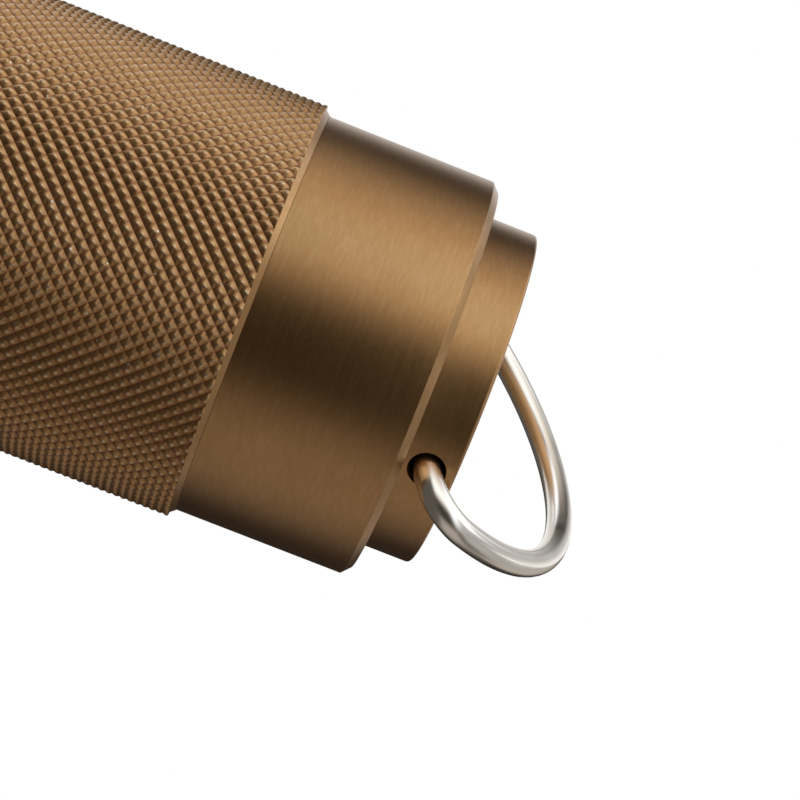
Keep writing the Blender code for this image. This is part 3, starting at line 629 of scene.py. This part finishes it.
def make_reflector():
    span = REFLECTOR_REAR - REFLECTOR_FRONT
    slope = (REFLECTOR_MOUTH_RADIUS**2 - REFLECTOR_NECK_RADIUS**2) / span
    vertex = REFLECTOR_REAR + REFLECTOR_NECK_RADIUS**2 / slope

    def bowl(height):
        return math.sqrt(slope * (vertex - height))

    rings = []
    for step in range(REFLECTOR_STEPS + 1):
        height = REFLECTOR_REAR - (REFLECTOR_REAR - REFLECTOR_FLANGE_END) * step / REFLECTOR_STEPS
        rings.append((bowl(height) + REFLECTOR_WALL, height))
    rings.append((REFLECTOR_FLANGE_RADIUS, REFLECTOR_FLANGE_END))
    rings.append((REFLECTOR_FLANGE_RADIUS, REFLECTOR_FRONT))
    for step in range(REFLECTOR_STEPS + 1):
        height = REFLECTOR_FRONT + span * step / REFLECTOR_STEPS
        rings.append((bowl(height), height))
    return skin("reflector_fine", rings, SIDES)


def round_section(node, name):
    """A fine round rubber ring in the place of a CAD one."""
    low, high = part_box(node)
    wire_radius = (high.z - low.z) / 2
    centre = (high.x - wire_radius, (high.z + low.z) / 2)
    rings = arc(centre, wire_radius, 0.0, -2 * math.pi, RUBBER_RING_STEPS)[:-1]
    return skin(name, rings, SIDES // 2)


def round_disc(node, name, bevel):
    """A fine disc with broken edges in the place of a CAD one."""
    low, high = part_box(node)
    radius = high.x
    rings = [
        (0.0, high.z),
        (radius - bevel, high.z),
        (radius, high.z - bevel),
        (radius, low.z + bevel),
        (radius - bevel, low.z),
        (0.0, low.z),
    ]
    return skin(name, rings, SIDES // 2)


def make_dome():
    low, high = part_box("led_dome")
    rings = [(0.0, high.z)]
    rings += arc((0.0, high.z), high.x, 0.0, -math.pi / 2, DOME_STEPS)[:-1]
    rings.append((0.0, low.z))
    return skin("led_dome_fine", rings, SIDES // 4)


# Materials


class Graph:
    """A node tree and the few node patterns that the finishes and the studio share."""

    def __init__(self, tree, coordinate):
        self.tree = tree
        self.place = self.add("ShaderNodeTexCoord").outputs[coordinate]

    def add(self, kind):
        return self.tree.nodes.new(kind)

    def feed(self, value, socket):
        """Link an output to a socket, or set the socket to a plain value."""
        if isinstance(value, bpy.types.NodeSocket):
            self.tree.links.new(value, socket)
        elif isinstance(value, tuple) and socket.type == "RGBA":
            socket.default_value = (*value, 1.0)
        else:
            socket.default_value = value

    def scaled(self, scale):
        node = self.add("ShaderNodeMapping")
        node.inputs["Scale"].default_value = scale
        self.feed(self.place, node.inputs["Vector"])
        return node.outputs["Vector"]

    def noise(self, scale, detail=3.0, roughness=0.5):
        node = self.add("ShaderNodeTexNoise")
        node.inputs["Scale"].default_value = 1.0
        node.inputs["Detail"].default_value = detail
        node.inputs["Roughness"].default_value = roughness
        self.feed(self.scaled(scale), node.inputs["Vector"])
        return node.outputs["Fac"]

    def specks(self, spacing, size):
        """Sparse round dots: 1 inside a dot, 0 between the dots."""
        node = self.add("ShaderNodeTexVoronoi")
        node.inputs["Scale"].default_value = 1.0
        self.feed(self.scaled((1 / spacing,) * 3), node.inputs["Vector"])
        outer = size / spacing
        return self.fit(node.outputs["Distance"], outer, SPECK_CORE * outer)

    def fit(self, value, low, high, to_low=0.0, to_high=1.0):
        node = self.add("ShaderNodeMapRange")
        node.interpolation_type = "SMOOTHSTEP"
        node.inputs["From Min"].default_value = low
        node.inputs["From Max"].default_value = high
        node.inputs["To Min"].default_value = to_low
        node.inputs["To Max"].default_value = to_high
        self.feed(value, node.inputs["Value"])
        return node.outputs["Result"]

    def window(self, value, rise, fall):
        """1 between the two edges, which are soft (start, end) pairs, and 0 outside them."""
        return self.math("MULTIPLY", self.fit(value, *rise), self.fit(value, fall[1], fall[0]))

    def math(self, operation, first, second):
        node = self.add("ShaderNodeMath")
        node.operation = operation
        self.feed(first, node.inputs[0])
        self.feed(second, node.inputs[1])
        return node.outputs["Value"]

    def mix(self, share, first, second):
        node = self.add("ShaderNodeMix")
        node.data_type = "RGBA"
        sockets = {socket.identifier: socket for socket in node.inputs}
        self.feed(share, sockets["Factor_Float"])
        self.feed(first, sockets["A_Color"])
        self.feed(second, sockets["B_Color"])
        return next(socket for socket in node.outputs if socket.identifier == "Result_Color")

    def dot(self, direction):
        node = self.add("ShaderNodeVectorMath")
        node.operation = "DOT_PRODUCT"
        self.feed(self.place, node.inputs[0])
        node.inputs[1].default_value = direction
        return node.outputs["Value"]

    def axis_radius(self):
        """Distance from the flashlight's axis, in metres."""
        node = self.add("ShaderNodeVectorMath")
        node.operation = "LENGTH"
        self.feed(self.scaled((1, 1, 0)), node.inputs[0])
        return node.outputs["Value"]

    def bump(self, height, strength, distance, base=None):
        node = self.add("ShaderNodeBump")
        node.inputs["Strength"].default_value = strength
        node.inputs["Distance"].default_value = distance
        self.feed(height, node.inputs["Height"])
        if base is not None:
            self.feed(base, node.inputs["Normal"])
        return node.outputs["Normal"]


class Finish(Graph):
    """A Principled material, patterned in the frame's own coordinates."""

    def __init__(self, name):
        self.material = bpy.data.materials.new(name)
        self.material.use_nodes = True
        super().__init__(self.material.node_tree, "Object")
        self.shader = self.tree.nodes["Principled BSDF"]

    def set(self, **values):
        """Set or link the shader's sockets; an underscore stands for a space."""
        for name, value in values.items():
            self.feed(value, self.shader.inputs[name.replace("_", " ")])

    def turned_round_axis(self):
        """Tool marks run round the flashlight's axis and spread highlights along it."""
        node = self.add("ShaderNodeTangent")
        node.direction_type = "RADIAL"
        node.axis = "Z"
        self.set(
            Tangent=node.outputs["Tangent"],
            Anisotropic=TURNED_ANISOTROPY,
            Anisotropic_Rotation=TURNED_ROTATION,
        )


BROWN = (0.465, 0.252, 0.090)
BROWN_DARK = (0.430, 0.228, 0.080)
BROWN_PALE = (0.560, 0.350, 0.170)
BROWN_SHADE = (0.350, 0.180, 0.060)
# Painted shade for the valleys between the knurl's teeth
VALLEY_PAINTED_SHADE = (0.370, 0.172, 0.058)
WORN_TIP = (0.720, 0.520, 0.310)
BARE_SPECK = (0.850, 0.780, 0.660)
TURNED_ANISOTROPY = 0.4
TURNED_ROTATION = 0.25
COAT = {"Coat_Weight": 0.6, "Coat_Roughness": 0.30, "Coat_IOR": 1.6}
STEEL_DARK = (0.92, 0.87, 0.80)
STEEL_PALE = (0.97, 0.93, 0.87)

# Patterns, in cycles per metre, and their relief. Specks are given by their spacing and their size,
# and are full inside the core share of that size
TOOL_MARKS = (40, 40, 9000)
BAND_CLOUD = (160, 160, 160)
BAND_MOTTLE = (1400, 1400, 7000)
BAND_GRAIN = (11000, 11000, 11000)
KNURL_CLOUD = (500, 500, 500)
KNURL_GRAIN = (5200, 5200, 5200)
STEEL_CLOUD = (700, 700, 700)
CLOUD_PER_GRAIN = 6
FINE_RELIEF = 0.01 * MM
COARSE_RELIEF = 0.02 * MM
MARKS_STRENGTH = 0.10
BAND_GRAIN_STRENGTH = 0.06
KNURL_GRAIN_STRENGTH = 0.18
STEEL_CLOUD_STRENGTH = 0.20
BAND_SPECKS = (3.4 * MM, 0.05 * MM)
KNURL_SPECKS = (1.1 * MM, 0.07 * MM)
SPECK_CORE = 0.6

# Spans of a noise's value, alone or with the shares or roughnesses that their two ends become
NOISE_SPAN = (0.3, 0.7)
MOTTLE_TO_SHADE = (0.25, 0.55, 0.30, 0.0)
MOTTLE_TO_PALE = (0.45, 0.75, 0.0, 0.30)
MARKS_TO_PALE = (0.55, 0.80, 0.0, 0.08)
MARKS_TO_ROUGHNESS = (0.35, 0.75, 0.30, 0.34)
GRAIN_TO_ROUGHNESS = (*NOISE_SPAN, 0.0, 0.04)
CLOUD_TO_WEAR = (0.25, 0.75, 0.25, 1.0)
KNURL_TO_ROUGHNESS = (*NOISE_SPAN, 0.33, 0.40)
STEEL_TO_ROUGHNESS = (*NOISE_SPAN, 0.22, 0.27)

# Where the painted shade in the valleys and the rubbed tips of the teeth begin and end, in tooth
# depths below the crest
PAINTED_SHADE_DEPTHS = (0.98, 0.50)
TIP_DEPTHS = (0.36, 0.06)
STRIP_FADE = 1.04


def anodised_material():
    """Brown anodised aluminium, satin, with fine rings left by turning."""
    made = Finish("anodised_turned")
    made.set(Metallic=1.0, **COAT)
    made.turned_round_axis()
    rings = made.noise(TOOL_MARKS, detail=4.0, roughness=0.65)
    cloud = made.noise(BAND_CLOUD, detail=3.0)
    mottle = made.noise(BAND_MOTTLE, detail=3.0, roughness=0.6)
    grain = made.noise(BAND_GRAIN, detail=2.0)
    color = made.mix(made.fit(cloud, *NOISE_SPAN), BROWN_DARK, BROWN)
    color = made.mix(made.fit(mottle, *MOTTLE_TO_SHADE), color, BROWN_SHADE)
    color = made.mix(made.fit(mottle, *MOTTLE_TO_PALE), color, BROWN_PALE)
    color = made.mix(made.fit(rings, *MARKS_TO_PALE), color, BROWN_PALE)
    color = made.mix(made.specks(*BAND_SPECKS), color, BARE_SPECK)
    satin = made.fit(rings, *MARKS_TO_ROUGHNESS)
    marks = made.bump(rings, MARKS_STRENGTH, FINE_RELIEF)
    made.set(
        Base_Color=color,
        Roughness=made.math("ADD", satin, made.fit(grain, *GRAIN_TO_ROUGHNESS)),
        Normal=made.bump(grain, BAND_GRAIN_STRENGTH, FINE_RELIEF, marks),
    )
    return made.material


def knurl_material():
    """The same finish on the teeth: tips rubbed paler, shade painted darker into the valleys, the
    turned ends clean.
    """
    made = Finish("anodised_knurl")
    made.set(Metallic=1.0, **COAT)
    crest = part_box("body_tube")[1].x
    radius = made.axis_radius()
    valley_shade = made.fit(radius, *(crest - share * KNURL_DEPTH for share in PAINTED_SHADE_DEPTHS))
    tip = made.fit(radius, *(crest - share * KNURL_DEPTH for share in TIP_DEPTHS))
    cloud = made.noise(KNURL_CLOUD, detail=4.0)
    grain = made.noise(KNURL_GRAIN, detail=3.0)
    worn = made.math("MULTIPLY", tip, made.fit(cloud, *CLOUD_TO_WEAR))
    height = made.dot((0, 0, 1))
    fade = STRIP_FADE * KNURL_STRIP
    rear_strip = made.fit(height, TUBE_REAR - fade, TUBE_REAR - KNURL_STRIP)
    front_strip = made.fit(height, TUBE_FRONT + fade, TUBE_FRONT + KNURL_STRIP)
    # Painted shade: the valleys are darkened towards their bottoms, where the teeth would shade
    # them
    color = made.mix(valley_shade, VALLEY_PAINTED_SHADE, BROWN)
    color = made.mix(worn, color, WORN_TIP)
    color = made.mix(made.math("MAXIMUM", rear_strip, front_strip), color, BROWN)
    color = made.mix(made.specks(*KNURL_SPECKS), color, BARE_SPECK)
    made.set(
        Base_Color=color,
        Roughness=made.fit(grain, *KNURL_TO_ROUGHNESS),
        Normal=made.bump(grain, KNURL_GRAIN_STRENGTH, COARSE_RELIEF),
    )
    return made.material


def steel_material():
    """Polished steel wire, a little uneven in tone and gloss."""
    made = Finish("polished_steel")
    cloud = made.noise(STEEL_CLOUD, detail=2.0)
    made.set(
        Metallic=1.0,
        Base_Color=made.mix(cloud, STEEL_DARK, STEEL_PALE),
        Roughness=made.fit(cloud, *STEEL_TO_ROUGHNESS),
        Normal=made.bump(cloud, STEEL_CLOUD_STRENGTH, COARSE_RELIEF),
    )
    return made.material


def plain_finish(name, dark, pale, gloss, metallic=0.0, grain=3000, bump=0.15, **extra):
    """A fine-grained finish between two close colours; gloss is its span of roughness."""
    made = Finish(name)
    cloud = made.noise((grain / CLOUD_PER_GRAIN,) * 3, detail=4.0)
    fine = made.noise((grain,) * 3, detail=3.0)
    made.set(
        Metallic=metallic,
        Base_Color=made.mix(cloud, dark, pale),
        Roughness=made.fit(fine, *NOISE_SPAN, *gloss),
        Normal=made.bump(fine, bump, COARSE_RELIEF),
        **extra,
    )
    return made.material


def dress_nodes():
    """Finishes for the inner pieces that keep their CAD shape."""
    brass = plain_finish(
        "machined_brass", (0.62, 0.43, 0.16), (0.80, 0.60, 0.28), (0.22, 0.36), metallic=1.0
    )
    nickel = plain_finish(
        "nickel_plate", (0.58, 0.58, 0.56), (0.74, 0.73, 0.70), (0.20, 0.34), metallic=1.0
    )
    film = plain_finish("sleeve_film", (0.06, 0.10, 0.20), (0.10, 0.17, 0.30), (0.25, 0.40))
    paper = plain_finish(
        "fibre_paper", (0.66, 0.62, 0.50), (0.82, 0.79, 0.70), (0.75, 0.90), grain=6000
    )
    mask_white = plain_finish("white_mask", (0.76, 0.77, 0.75), (0.88, 0.88, 0.86), (0.35, 0.50))
    mask_green = plain_finish("green_mask", (0.03, 0.16, 0.07), (0.06, 0.25, 0.12), (0.30, 0.45))
    ceramic = plain_finish("white_ceramic", (0.78, 0.77, 0.72), (0.90, 0.89, 0.85), (0.40, 0.55))
    nylon = plain_finish("white_nylon", (0.76, 0.76, 0.72), (0.88, 0.88, 0.85), (0.45, 0.60))
    ferrite = plain_finish("ferrite", (0.07, 0.07, 0.08), (0.14, 0.14, 0.15), (0.50, 0.70))
    epoxy = plain_finish("epoxy", (0.02, 0.02, 0.02), (0.06, 0.06, 0.06), (0.40, 0.60))
    tan = plain_finish("fired_tan", (0.42, 0.30, 0.18), (0.60, 0.46, 0.31), (0.45, 0.60))
    red = plain_finish("red_silicone", (0.45, 0.03, 0.02), (0.62, 0.06, 0.05), (0.40, 0.60))
    black = plain_finish("black_silicone", (0.02, 0.02, 0.02), (0.05, 0.05, 0.06), (0.40, 0.60))
    finishes = {
        brass: ("tail_contact", "pill", "driver_retaining_ring"),
        nickel: ("cell_can", "cell_button"),
        film: ("cell_sleeve",),
        paper: ("cell_seal",),
        mask_white: ("led_board",),
        mask_green: ("driver_board",),
        ceramic: ("led_package",),
        nylon: ("led_spacer",),
        ferrite: ("driver_inductor",),
        epoxy: ("driver_chip",),
        tan: ("driver_capacitor",),
        red: ("lead_positive",),
        black: ("lead_negative",),
    }
    for finish, names in finishes.items():
        for name in names:
            paint(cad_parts[name], finish)


def paint(piece, finish):
    piece.data.materials.clear()
    piece.data.materials.append(finish)


def place(piece, finish, body, slot, *nodes):
    """Give a fine piece its finish and body, and hide the CAD nodes that it stands for."""
    paint(piece, finish)
    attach(piece, body)
    if nodes:
        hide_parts(*nodes)


def dress_object():
    turned = anodised_material()
    rubber = plain_finish(
        "black_rubber", (0.012, 0.012, 0.012), (0.035, 0.035, 0.035), (0.50, 0.70)
    )
    mirror = plain_finish(
        "metallised",
        (0.86, 0.86, 0.87),
        (0.93, 0.93, 0.93),
        (0.03, 0.07),
        metallic=1.0,
        bump=0.02,
    )
    glass = plain_finish(
        "lens_glass",
        (0.95, 0.98, 0.98),
        (1.0, 1.0, 1.0),
        (0.0, 0.02),
        bump=0.0,
        Transmission_Weight=1.0,
        IOR=1.5,
    )
    silicone = plain_finish(
        "phosphor_dome",
        (0.80, 0.60, 0.10),
        (0.95, 0.80, 0.28),
        (0.06, 0.12),
        bump=0.02,
        Coat_Weight=0.5,
    )
    place(make_knurl(), knurl_material(), "barrel", "anodised_body", "body_tube")
    place(make_tube_core(), turned, "barrel", "anodised_body")
    place(make_tail_cap(), turned, "tail_cap", "anodised_body", "tail_cap")
    place(make_key_ring(), steel_material(), "key_ring", "ring_steel", "key_ring")
    place(make_head_shell(), turned, "head", "anodised_body", "head_shell")
    place(make_bezel(), turned, "head", "anodised_body", "bezel_ring")
    place(make_reflector(), mirror, "head", "reflector", "reflector")
    lens = round_disc("front_lens", "front_lens_fine", LENS_BEVEL)
    place(lens, glass, "head", "lens_glass", "front_lens")
    place(make_dome(), silicone, "head", "led_dome", "led_dome")
    seals = (("lens_gasket", "head"), ("tail_o_ring", "barrel"), ("head_o_ring", "barrel"))
    for node, body in seals:
        place(round_section(node, f"{node}_fine"), rubber, body, "rubber", node)
    dress_springs()
    foam = plain_finish(
        "grey_foam", (0.10, 0.10, 0.11), (0.26, 0.26, 0.27), (0.90, 1.00), grain=9000, bump=0.8
    )
    foam_ring = make_foam_ring()
    place(foam_ring, foam, "head_foam", "foam", "foam_ring")
    dress_nodes()


def dress_springs():
    plated = plain_finish(
        "plated_wire", (0.70, 0.60, 0.36), (0.84, 0.76, 0.52), (0.18, 0.30), metallic=1.0
    )
    tail_spring = make_spring(
        "tail_spring_fine",
        TAIL_SPRING_BOTTOM,
        TAIL_SPRING_TOP,
        TAIL_SPRING_BOTTOM_RADIUS,
        TAIL_SPRING_TOP_RADIUS,
        TAIL_SPRING_WIRE_RADIUS,
        TAIL_SPRING_TURNS,
    )
    contact_spring = make_spring(
        "contact_spring_fine",
        CONTACT_SPRING_BOTTOM,
        CONTACT_SPRING_TOP,
        CONTACT_SPRING_BOTTOM_RADIUS,
        CONTACT_SPRING_TOP_RADIUS,
        CONTACT_SPRING_WIRE_RADIUS,
        CONTACT_SPRING_TURNS,
    )
    place(tail_spring, plated, "tail_contact", "spring_steel", "tail_spring")
    place(contact_spring, plated, "head", "spring_steel", "contact_spring")


# Camera and studio


def photo_axes():
    """The flashlight's axes in the photograph's camera: x right, y down, z forward."""
    along = Vector(
        (
            math.cos(AXIS_TILT) * math.cos(AXIS_ROLL),
            math.cos(AXIS_TILT) * math.sin(AXIS_ROLL),
            math.sin(AXIS_TILT),
        )
    )
    middle = PHOTO_SIDE / 2
    reference = REFERENCE_DEPTH * Vector(
        (
            (REFERENCE_PIXEL[0] - middle) / PHOTO_FOCAL,
            (REFERENCE_PIXEL[1] - middle) / PHOTO_FOCAL,
            1.0,
        )
    )
    hole = reference + (HOLE_HEIGHT - REFERENCE_HEIGHT) * along
    facing = -(hole - hole.dot(along) * along).normalized()
    below = along.cross(facing)
    near_mouth = math.cos(HOLE_TURN) * facing + math.sin(HOLE_TURN) * below
    swing_side = math.cos(HOLE_TURN) * below - math.sin(HOLE_TURN) * facing
    return reference, swing_side, -near_mouth, along


def make_camera():
    reference, x_axis, y_axis, z_axis = photo_axes()
    right = Vector((x_axis.x, y_axis.x, z_axis.x))
    down = Vector((x_axis.y, y_axis.y, z_axis.y))
    forward = Vector((x_axis.z, y_axis.z, z_axis.z))
    place_of_camera = Vector((0, 0, REFERENCE_HEIGHT)) - Vector(
        (reference.dot(x_axis), reference.dot(y_axis), reference.dot(z_axis))
    )
    turn = Matrix((right, -down, -forward)).transposed()
    data = bpy.data.cameras.new("photo_camera")
    data.sensor_fit = "HORIZONTAL"
    data.sensor_width = SENSOR_WIDTH
    data.lens = PHOTO_FOCAL / PHOTO_SIDE * SENSOR_WIDTH
    data.clip_start, data.clip_end = CAMERA_CLIP
    camera = bpy.data.objects.new("photo_camera", data)
    camera.matrix_world = Matrix.Translation(place_of_camera) @ turn.to_4x4()
    bpy.context.scene.collection.objects.link(camera)
    bpy.context.scene.camera = camera


def degrees(first, second):
    """The two ends of a soft edge, in radians."""
    return math.radians(first), math.radians(second)


# Directions round the upright flashlight, as the camera sees them, and the studio's light by its
# angle from the camera's side: positive angles lie towards the top of the picture
TOWARDS_CAMERA = (-math.sin(HOLE_TURN), -math.cos(HOLE_TURN), 0.0)
PICTURE_UP = (-math.cos(HOLE_TURN), math.sin(HOLE_TURN), 0.0)
KEY_RISE = degrees(8, 44)
KEY_FALL = degrees(64, 134)
CORE_RISE = degrees(28, 52)
CORE_FALL = degrees(56, 84)
TAIL_KEY_RISE = degrees(-52, 32)
TAIL_KEY_FALL = degrees(118, 152)
TAIL_FILL_RISE = degrees(-96, -126)
HIGH_KEY_RISE = degrees(46, 74)
HIGH_KEY_FALL = degrees(98, 118)
HEAD_KEY_RISE = degrees(70, 92)
HEAD_KEY_FALL = degrees(136, 162)
FILL_RISE = degrees(-138, -85)
FILL_FALL = degrees(-62, -20)
BACKDROP_RISE = degrees(134, 180)

# Edges towards the tail or the head, by the upward part of a direction
TAIL_KEY_EDGE = (0.40, 0.58)
HIGH_KEY_EDGE = (0.70, 0.82)
ZENITH_EDGE = (0.90, 0.96)
HEAD_KEY_EDGE = (-0.22, -0.42)

# Radiances, where 1 shows as white
ROOM = (0.028, 0.022, 0.018)
KEY = (1.02, 0.93, 0.84)
CORE = (1.10, 1.17, 1.20)
TAIL_KEY = (1.28, 1.32, 1.38)
TAIL_SHADE = (0.16, 0.14, 0.12)
TAIL_FILL = (0.46, 0.42, 0.38)
HIGH_KEY = (1.75, 1.80, 1.85)
HEAD_KEY = (1.28, 1.32, 1.38)
HEAD_SHADE = (0.09, 0.08, 0.07)
FILL = (0.40, 0.36, 0.33)
CEILING = (0.40, 0.39, 0.38)
ZENITH = (0.12, 0.11, 0.11)
BACKDROP = (0.80, 0.79, 0.77)
WHITE = (1.0, 1.0, 1.0)


def make_world():
    """White to the camera, through glass and mirrored from behind; elsewhere a soft studio."""
    world = bpy.data.worlds.new("studio")
    bpy.context.scene.world = world
    world.use_nodes = True
    graph = Graph(world.node_tree, "Generated")
    height = graph.dot((0, 0, 1))
    turn = graph.math("ARCTAN2", graph.dot(PICTURE_UP), graph.dot(TOWARDS_CAMERA))
    light = graph.mix(graph.window(turn, KEY_RISE, KEY_FALL), ROOM, KEY)
    light = graph.mix(graph.window(turn, CORE_RISE, CORE_FALL), light, CORE)
    light = graph.mix(graph.window(turn, FILL_RISE, FILL_FALL), light, FILL)
    behind = graph.fit(turn, *BACKDROP_RISE)
    light = graph.mix(behind, light, BACKDROP)
    tail = graph.mix(graph.fit(turn, *TAIL_FILL_RISE), TAIL_SHADE, TAIL_FILL)
    tail = graph.mix(graph.window(turn, TAIL_KEY_RISE, TAIL_KEY_FALL), tail, TAIL_KEY)
    light = graph.mix(graph.fit(height, *TAIL_KEY_EDGE), light, tail)
    high = graph.mix(graph.window(turn, HIGH_KEY_RISE, HIGH_KEY_FALL), CEILING, HIGH_KEY)
    light = graph.mix(graph.fit(height, *HIGH_KEY_EDGE), light, high)
    light = graph.mix(graph.fit(height, *ZENITH_EDGE), light, ZENITH)
    head = graph.mix(graph.window(turn, HEAD_KEY_RISE, HEAD_KEY_FALL), HEAD_SHADE, HEAD_KEY)
    light = graph.mix(graph.fit(height, *HEAD_KEY_EDGE), light, head)
    rays = graph.add("ShaderNodeLightPath").outputs
    seen = graph.math("MAXIMUM", rays["Is Camera Ray"], rays["Is Transmission Ray"])
    seen = graph.math("MAXIMUM", seen, graph.math("MULTIPLY", rays["Is Glossy Ray"], behind))
    background = world.node_tree.nodes["Background"]
    graph.feed(graph.mix(seen, light, WHITE), background.inputs["Color"])


FLOOR_RADIUS = 1.5
FLOOR_SEGMENTS = 96
FLOOR_DARK = (0.84, 0.84, 0.84)
FLOOR_PALE = (0.88, 0.88, 0.88)
FLOOR_SPECKLE = (900, 900, 900)
FLOOR_ROUGHNESS = 0.9
FLOOR_FADE = (0.05, 0.20)
FLOOR_MIRRORED = (0.024, 0.012)
FLOOR_OWN_WHITE = 0.55


def make_floor():
    """A pale floor: it keeps the object's shadow, and far off it is plain white to the camera.

    It is mirrored in what is close to it. Other rays pass through it, so that the studio lights
    the object from all round.
    """
    bm = bmesh.new()
    bmesh.ops.create_circle(bm, cap_ends=True, segments=FLOOR_SEGMENTS, radius=FLOOR_RADIUS)
    floor = piece_from("floor", bm)
    finish = Finish("pale_floor")
    color = finish.mix(finish.noise(FLOOR_SPECKLE), FLOOR_DARK, FLOOR_PALE)
    finish.set(Base_Color=color, Roughness=FLOOR_ROUGHNESS)
    radius = finish.axis_radius()
    glow = finish.add("ShaderNodeEmission").outputs["Emission"]
    clear = finish.add("ShaderNodeBsdfTransparent").outputs["BSDF"]
    pale = finish.shader.outputs["BSDF"]
    rays = finish.add("ShaderNodeLightPath").outputs
    seen = finish.math("MAXIMUM", rays["Is Camera Ray"], rays["Is Transmission Ray"])
    close = finish.fit(rays["Ray Length"], *FLOOR_MIRRORED)
    seen = finish.math("MAXIMUM", seen, finish.math("MULTIPLY", rays["Is Glossy Ray"], close))
    looks = mix_shaders(finish, finish.fit(radius, *FLOOR_FADE, FLOOR_OWN_WHITE, 1.0), pale, glow)
    both = mix_shaders(finish, seen, clear, looks)
    finish.feed(both, finish.tree.nodes["Material Output"].inputs["Surface"])
    paint(floor, finish.material)


def mix_shaders(graph, share, first, second):
    node = graph.add("ShaderNodeMixShader")
    graph.feed(share, node.inputs["Fac"])
    graph.feed(first, node.inputs[1])
    graph.feed(second, node.inputs[2])
    return node.outputs["Shader"]


TOP_PANEL_HEIGHT = 0.60
TOP_PANEL_SIDE = 0.40
TOP_PANEL_RADIANCE = 0.28


def make_top_panel():
    """A soft panel overhead; radiance 1 shows as white."""
    data = bpy.data.lights.new("top_panel", "AREA")
    data.size = TOP_PANEL_SIDE
    data.energy = TOP_PANEL_RADIANCE * math.pi * TOP_PANEL_SIDE**2
    lamp = bpy.data.objects.new("top_panel", data)
    lamp.location = (0.0, 0.0, TOP_PANEL_HEIGHT)
    bpy.context.scene.collection.objects.link(lamp)


def make_studio():
    make_camera()
    make_world()
    make_floor()
    make_top_panel()
    bpy.context.scene.view_settings.view_transform = "Standard"


make_studio()
dress_object()
